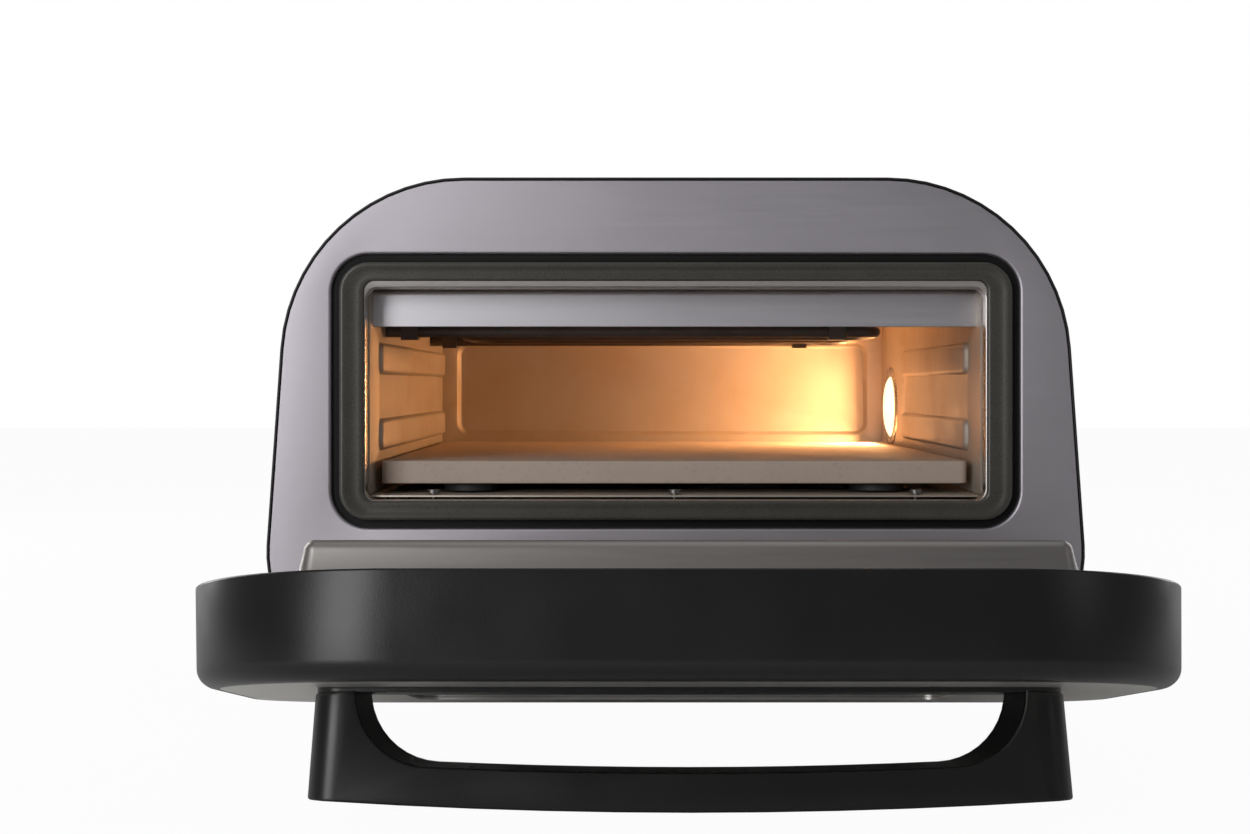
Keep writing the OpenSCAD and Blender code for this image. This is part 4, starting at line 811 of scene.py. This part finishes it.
def make_rim():
    """The thick rim; its side leans in towards the outer face."""
    side = soft_edge(RIM_R, OUTER_Y, 1, 9) + soft_edge(1 * MM, INNER_Y, -1, 3)[::-1]
    side = [(inset + RIM_DRAFT * (INNER_Y - y) / DOOR_T, y) for inset, y in side]
    recess = PANEL_IN - 0.3 * MM
    section = [(RIM_W, OUTER_Y + PANEL_T + 0.1 * MM), (recess, OUTER_Y + PANEL_T + 0.1 * MM),
               (recess, OUTER_Y + 0.3 * MM), (recess - 0.3 * MM, OUTER_Y)] + side
    section += [(INNER_IN - 0.3 * MM, INNER_Y), (INNER_IN - 0.3 * MM, INNER_Y - 0.9 * MM),
                (RIM_W, INNER_Y - 0.9 * MM)]
    bm = bmesh.new()
    loft(bm, [(door_outline(inset), y) for inset, y in section], closed=True, steps=20)
    rim = keep("rim_ring", bm, rim_black, "door", ["door_rim"], crease=40)
    for x in (-HINGE_X, HINGE_X):
        low = (x - NOTCH_W / 2, -9 * MM, -9 * MM)
        high = (x + NOTCH_W / 2, INNER_Y + 1 * MM, 15 * MM)
        subtract(rim, low, high)
    rim.data.transform(DOOR_PLACE)


def make_pan():
    """The pressed pan that fills the mouth when the door is closed."""
    draft = PLUG_DRAFT * (1 - PLUG_EDGE / PLUG_OUT)
    sill = INNER_Y + PLUG_OUT
    behind = INNER_Y - 1.7 * MM
    loops = [(plug_shape(-7 * MM), behind), (plug_shape(-7 * MM), INNER_Y - 0.9 * MM),
             (plug_shape(-2.6 * MM), INNER_Y - 0.9 * MM),
             (plug_shape(-1.5 * MM), INNER_Y - 0.6 * MM),
             (plug_shape(-0.7 * MM), INNER_Y + 0.2 * MM), (plug_shape(0), INNER_Y + 2.0 * MM)]
    for t in quarter_turn(7):
        across = PLUG_EDGE * 0.8 * (1 - math.cos(t))
        loops.append((plug_shape(draft + across), sill - PLUG_EDGE * (1 - math.sin(t))))
    loops += [(inner_window(-0.5 * MM), sill), (inner_window(0), sill - 0.4 * MM),
              (inner_window(0), sill - LINER_T),
              (plug_shape(draft + PLUG_EDGE * 0.8), sill - LINER_T),
              (plug_shape(draft + LINER_T), sill - PLUG_EDGE), (plug_shape(LINER_T), behind)]
    bm = bmesh.new()
    loft(bm, loops, closed=True)
    keep("pan_pressing", bm, pan_steel, "door", ["door_pan"], place=DOOR_PLACE, crease=35)


HANDLE_HALF = 153.7 * MM
HANDLE_FLARE = 1.5 * MM
HANDLE_U = 160 * MM
HANDLE_D = 30 * MM
HANDLE_OUT = 49 * MM
HANDLE_BOW = 5 * MM
FRONT_R, BACK_R = 12 * MM, 3 * MM
GRIP_T = 15.3 * MM
GAP_HALF = 134.5 * MM
GAP_DRAFT = 2.4 * MM
GAP_R = 30 * MM
GRIP_EDGE = 1 * MM
RAIL_T = 2 * MM
RAIL_EDGE = 0.7 * MM


def drawn_in(radius, depth):
    """How far a round edge is drawn in at this depth below its face."""
    short = max(0.0, radius - depth)
    return radius - math.sqrt(radius ** 2 - short ** 2)


def grip_outline(u):
    """The handle's outline at the height u on the door; z is the distance out."""
    above, below = u - HANDLE_U, HANDLE_U + HANDLE_D - u
    plan = max(drawn_in(FRONT_R, below), drawn_in(BACK_R, above))
    soft = max(drawn_in(GRIP_EDGE, below), drawn_in(GRIP_EDGE, above))
    draft = GAP_DRAFT * below / HANDLE_D
    half, foot_half = HANDLE_HALF - plan, HANDLE_HALF - HANDLE_FLARE - plan
    bow = (HANDLE_HALF ** 2 + HANDLE_BOW ** 2) / (2 * HANDLE_BOW)
    bow_z = HANDLE_OUT - bow
    bow -= soft
    corner, foot = 1.2 * MM, 1.4 * MM
    edge = math.acos((half - corner) / (bow - corner))
    corner_z = bow_z + (bow - corner) * math.sin(edge)
    gap = GAP_HALF - draft + soft
    gap_r = GAP_R + soft
    gap_x = gap - gap_r
    inner_bow = bow + soft - GRIP_T - draft + soft
    gap_z = bow_z + math.sqrt((inner_bow - gap_r) ** 2 - gap_x ** 2)
    turn = math.acos(gap_x / (inner_bow - gap_r))
    right, left, down = 0.0, math.pi, 1.5 * math.pi
    return [
        (half - corner, corner_z, corner, right, edge),
        (0, bow_z, bow, edge, left - edge),
        (corner - half, corner_z, corner, left - edge, left),
        (foot - foot_half, RAIL_T + foot, foot, left, down),
        (-gap - foot, RAIL_T + foot, foot, down, 2 * math.pi),
        (-gap_x, gap_z, gap_r, left, left - turn),
        (0, bow_z, inner_bow, left - turn, turn),
        (gap_x, gap_z, gap_r, turn, right),
        (gap + foot, RAIL_T + foot, foot, left, down),
        (foot_half - foot, RAIL_T + foot, foot, down, 2 * math.pi),
    ]


def rail_outline(inset):
    """The rail's outline on the door, a little smaller than the handle's foot."""
    inset += RAIL_EDGE
    half, low, high = HANDLE_HALF - HANDLE_FLARE, HANDLE_U, HANDLE_U + HANDLE_D
    quarter = math.pi / 2
    return [
        (half - FRONT_R, high - FRONT_R, FRONT_R - inset, 0, quarter),
        (FRONT_R - half, high - FRONT_R, FRONT_R - inset, quarter, 2 * quarter),
        (BACK_R - half, low + BACK_R, BACK_R - inset, 2 * quarter, 3 * quarter),
        (half - BACK_R, low + BACK_R, BACK_R - inset, 3 * quarter, 4 * quarter),
    ]


def make_handle():
    """One bar on two legs, built up from slices that follow its round edges."""
    turns = quarter_turn(12)
    levels = [HANDLE_U + BACK_R * (1 - math.cos(t)) for t in turns[::2]]
    levels += [HANDLE_U + HANDLE_D - FRONT_R * (1 - math.cos(t)) for t in turns[::-1]]
    bm = bmesh.new()
    loft(bm, [(grip_outline(u), u) for u in levels], steps=10)
    lay = Matrix.Translation((0, OUTER_Y, 0)) @ Matrix.Rotation(math.pi / 2, 4, "X")
    keep("handle_bar", bm, grip_black, "door", ["handle"], place=DOOR_PLACE @ lay, crease=40)
    bm = bmesh.new()
    slab(bm, rail_outline, OUTER_Y - RAIL_T, OUTER_Y, 0.4 * MM, 0.2 * MM, steps=8)
    keep("handle_foot_rail", bm, grip_black, "door", ["handle_rail"], place=DOOR_PLACE)


# ---------- controls ----------

TO_SIDE = Matrix.Rotation(math.pi / 2 - FLARE, 4, "Y")


def joint_place(name):
    """Where a knob stands, with its axis square to the casing's side."""
    return Matrix.Translation(Vector(find_joint(name)["pos_m"])) @ TO_SIDE


def make_knob(name, joint, body, node):
    """A turned skirt and grip with a raised bar across it."""
    lift, skirt, high = 2.1 * MM, 3 * MM, 8.6 * MM
    reach, grip = 18 * MM, 14 * MM
    bm = bmesh.new()
    revolve(bm, [(0, lift), (reach - 0.8 * MM, lift), (reach, lift + 0.8 * MM),
                 (reach - 0.5 * MM, lift + skirt - 0.6 * MM), (reach - 1.6 * MM, lift + skirt),
                 (grip + 1 * MM, lift + skirt), (grip + 0.2 * MM, lift + skirt + 0.8 * MM),
                 (grip - 0.6 * MM, lift + high - 1.6 * MM),
                 (grip - 2.0 * MM, lift + high - 0.9 * MM),
                 (0, lift + high - 0.7 * MM)])
    block(bm, (-grip + 0.8 * MM, -2.6 * MM, lift + skirt),
          (grip - 0.8 * MM, 2.6 * MM, lift + high), 0.9 * MM)
    place = joint_place(joint)
    keep(name, bm, part_black, body, [node], place=place, crease=45)
    bm = bmesh.new()
    block(bm, (-grip + 1.6 * MM, -0.5 * MM, lift + high - 0.4 * MM),
          (-4 * MM, 0.5 * MM, lift + high + 0.05 * MM), 0.1 * MM, 1)
    keep(name + "_mark", bm, ceramic, body, place=place)


PANEL_MIDDLE = 151 * MM
PANEL_W, PANEL_H, PANEL_R, PANEL_OUT = 178 * MM, 62 * MM, 10 * MM, 1.6 * MM
LIGHT_UP = 19.05 * MM
LIGHT_Y = (126 * MM, 182 * MM)
LIGHT_R, LIGHT_RISE = 3 * MM, 1.4 * MM


def make_control_panel():
    """The plate behind the knobs with its two pilot lights."""
    side = Vector(find_joint("temperature_turn")["pos_m"])
    at = Matrix.Translation((side.x, FACE + PANEL_MIDDLE, side.z)) @ TO_SIDE
    bm = bmesh.new()
    slab(bm, rounded_rect(PANEL_H, PANEL_W, PANEL_R), 0.05 * MM, PANEL_OUT, 0.1 * MM, 0.5 * MM)
    keep("control_plate", bm, part_black, "housing", ["control_panel"], place=at @ LAID_FLAT)
    for i, along in enumerate(LIGHT_Y):
        bm = bmesh.new()
        dome = [(LIGHT_R * math.sin(t), PANEL_OUT + LIGHT_RISE * math.cos(t))
                for t in quarter_turn(8)]
        dome[0] = (0, dome[0][1])
        revolve(bm, dome + [(LIGHT_R, 0.2 * MM), (0, 0.2 * MM)], 32)
        keep(f"pilot_light_{i + 1}", bm, red, "housing", ["pilot_lights"],
             place=at @ Matrix.Translation((-LIGHT_UP, along - PANEL_MIDDLE, 0)))


def make_feet():
    """Four turned feet, each on a rubber pad."""
    for node in ("foot_front_left", "foot_front_right", "foot_rear_left", "foot_rear_right"):
        low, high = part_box(node)
        middle = (low + high) / 2
        at = Matrix.Translation((middle.x, middle.y, 0))
        tall = high.z
        bm = bmesh.new()
        revolve(bm, [(0, 4 * MM), (11 * MM, 4 * MM), (12 * MM, 5 * MM), (12.4 * MM, 8 * MM),
                     (13.6 * MM, tall - 3 * MM), (14 * MM, tall - 0.8 * MM),
                     (13.4 * MM, tall), (0, tall)])
        keep(node + "_turned", bm, part_black, "housing", [node], place=at)
        bm = bmesh.new()
        revolve(bm, [(0, 0), (10.5 * MM, 0), (11.7 * MM, 0.8 * MM), (11.7 * MM, 4 * MM),
                     (0, 4 * MM)])
        keep(node + "_pad", bm, pad_rubber, "housing", ["foot_pads"], place=at)


# ---------- stage ----------

FLOOR_HALF = 6
FLOOR_SHARE = 0.965


def show_camera(tree, plain, bright, share, output):
    """Ends a node tree in its plain shader, and for the camera mostly in its bright one."""
    path = tree.nodes.new("ShaderNodeLightPath")
    part = tree.nodes.new("ShaderNodeMath")
    part.operation = "MULTIPLY"
    part.inputs[1].default_value = share
    mix = tree.nodes.new("ShaderNodeMixShader")
    tree.links.new(path.outputs["Is Camera Ray"], part.inputs[0])
    tree.links.new(part.outputs[0], mix.inputs[0])
    tree.links.new(plain.outputs[0], mix.inputs[1])
    tree.links.new(bright.outputs[0], mix.inputs[2])
    tree.links.new(mix.outputs[0], tree.nodes[output].inputs[0])


def make_stage():
    """The pale floor, which looks white to the camera and keeps its shadow."""
    bm = bmesh.new()
    bmesh.ops.create_grid(bm, x_segments=1, y_segments=1, size=FLOOR_HALF)
    mesh = bpy.data.meshes.new("floor")
    bm.to_mesh(mesh)
    bm.free()
    floor = add_object("floor", mesh)
    paper = bpy.data.materials.new("paper_floor")
    paper.use_nodes = True
    tree = paper.node_tree
    shader = tree.nodes["Principled BSDF"]
    shader.inputs["Base Color"].default_value = (0.86, 0.86, 0.86, 1)
    shader.inputs["Roughness"].default_value = 0.9
    shader.inputs["Specular IOR Level"].default_value = 0.1
    bright = tree.nodes.new("ShaderNodeEmission")
    bright.inputs["Color"].default_value = (1, 1, 1, 1)
    show_camera(tree, shader, bright, FLOOR_SHARE, "Material Output")
    mesh.materials.append(paper)


def make_world():
    """Faint light from all round, and a white background for the camera."""
    world = bpy.data.worlds.new("studio")
    bpy.context.scene.world = world
    world.use_nodes = True
    tree = world.node_tree
    soft = tree.nodes["Background"]
    soft.inputs["Color"].default_value = (1, 1, 1, 1)
    soft.inputs["Strength"].default_value = 0.15
    white = tree.nodes.new("ShaderNodeBackground")
    white.inputs["Color"].default_value = (1, 1, 1, 1)
    white.inputs["Strength"].default_value = 1.0
    show_camera(tree, soft, white, 1.0, "World Output")


def hang(data, at, watts, colour):
    """Adds a light's object at its place."""
    data.energy = watts
    data.color = colour
    light = add_object(data.name, data)
    light.location = at
    return light


def add_light(name, at, target, width, height, watts, colour=(1, 1, 1)):
    """A rectangular light that faces its target."""
    data = bpy.data.lights.new(name, "AREA")
    data.shape = "RECTANGLE"
    data.size = width
    data.size_y = height
    light = hang(data, at, watts, colour)
    light.rotation_euler = (Vector(target) - Vector(at)).to_track_quat("-Z", "Y").to_euler()


def add_bulb(name, at, radius, watts, colour):
    """A small round light that shines all round."""
    data = bpy.data.lights.new(name, "POINT")
    data.shadow_soft_size = radius
    hang(data, at, watts, colour)


def make_lights():
    add_light("left_box", (-1.0, -1.6, 0.55), (0, -0.25, 0.2), 0.75, 1.3, 14)
    add_light("right_box", (1.7, -1.2, 0.9), (0, -0.2, 0.15), 0.6, 1.0, 1)
    add_light("left_edge", (-1.4, 0.9, 0.7), (0, -0.2, 0.1), 0.7, 1.2, 11)
    add_light("right_edge", (1.4, 0.9, 0.7), (0, -0.2, 0.1), 0.7, 1.2, 6)
    add_light("overhead", (0, -0.3, 1.9), (0, 0, 0.1), 1.6, 1.6, 4)
    at = LAMP - X * 12 * MM - Y * 18 * MM
    add_light("oven_lamp", at, at - X - Y * 0.08, 0.036, 0.036, 0.54, (1.0, 0.5, 0.2))
    add_bulb("oven_glow", LAMP - X * 60 * MM - Y * 60 * MM, 18 * MM, 0.015, (1.0, 0.55, 0.24))


CAMERA_X = -24.5 * MM
CAMERA_AHEAD = 878 * MM
CAMERA_Z = 178.5 * MM
CAMERA_LENS = 47.92
CAMERA_SHIFT = (-0.00336, -0.0256)


def make_camera():
    """The photograph's camera: level, square to the front, a little left of the middle."""
    data = bpy.data.cameras.new("view")
    data.lens = CAMERA_LENS
    data.sensor_width = 36.0
    data.sensor_fit = "HORIZONTAL"
    data.shift_x, data.shift_y = CAMERA_SHIFT
    data.clip_start = 0.01
    camera = add_object("view", data)
    camera.location = (CAMERA_X, FACE - CAMERA_AHEAD, CAMERA_Z)
    camera.rotation_euler = (math.pi / 2, 0, 0)
    bpy.context.scene.camera = camera


make_camera()
make_shell()
make_front_plate()
make_seal()
make_mouth_frame()
make_side_walls()
make_rear_wall()
make_lamp()
make_stone()
make_heaters()
make_cavity_floor()
make_baffle()
make_rests()
make_rim()
make_pan()
make_handle()
make_knob("knob_temperature", "temperature_turn", "temperature_control", "temperature_knob")
make_knob("knob_timer", "timer_turn", "timer_control", "timer_knob")
make_control_panel()
make_feet()

dress(shell_black, "rear_panel")
dress(part_black, "cord_gland", "thermal_cutout", "switch_body")
dress(red, "power_rocker")
dress(zinc, "base_pan", "heat_shield", "cavity_stands", "lamp_housing", "timer_body")
dress(liner, "cavity_roof")
dress(sheath, "heater_clips")
dress(ceramic, "heater_bushes", "lamp_socket", "terminal_block", "thermostat_body")
dress(wool, "insulation_blanket", "rear_insulation")
dress(copper, "thermostat_probe")
dress(glow, "lamp_bulb")
dress(screw_steel, "front_screws", "case_screws", "foot_screws", "handle_screws", "hinge_pins",
      "hinge_bracket_left", "hinge_bracket_right", "hinge_leaves")
# The outer panel's paler steel is a painted reflection.
dress(door_steel_painted_reflection, "door_outer_panel")
dress(pan_steel, "door_inner_panel")
dress(glass, "door_window_outer", "door_window_inner")

make_stage()
make_world()
make_lights()
bpy.context.scene.view_settings.view_transform = "Standard"
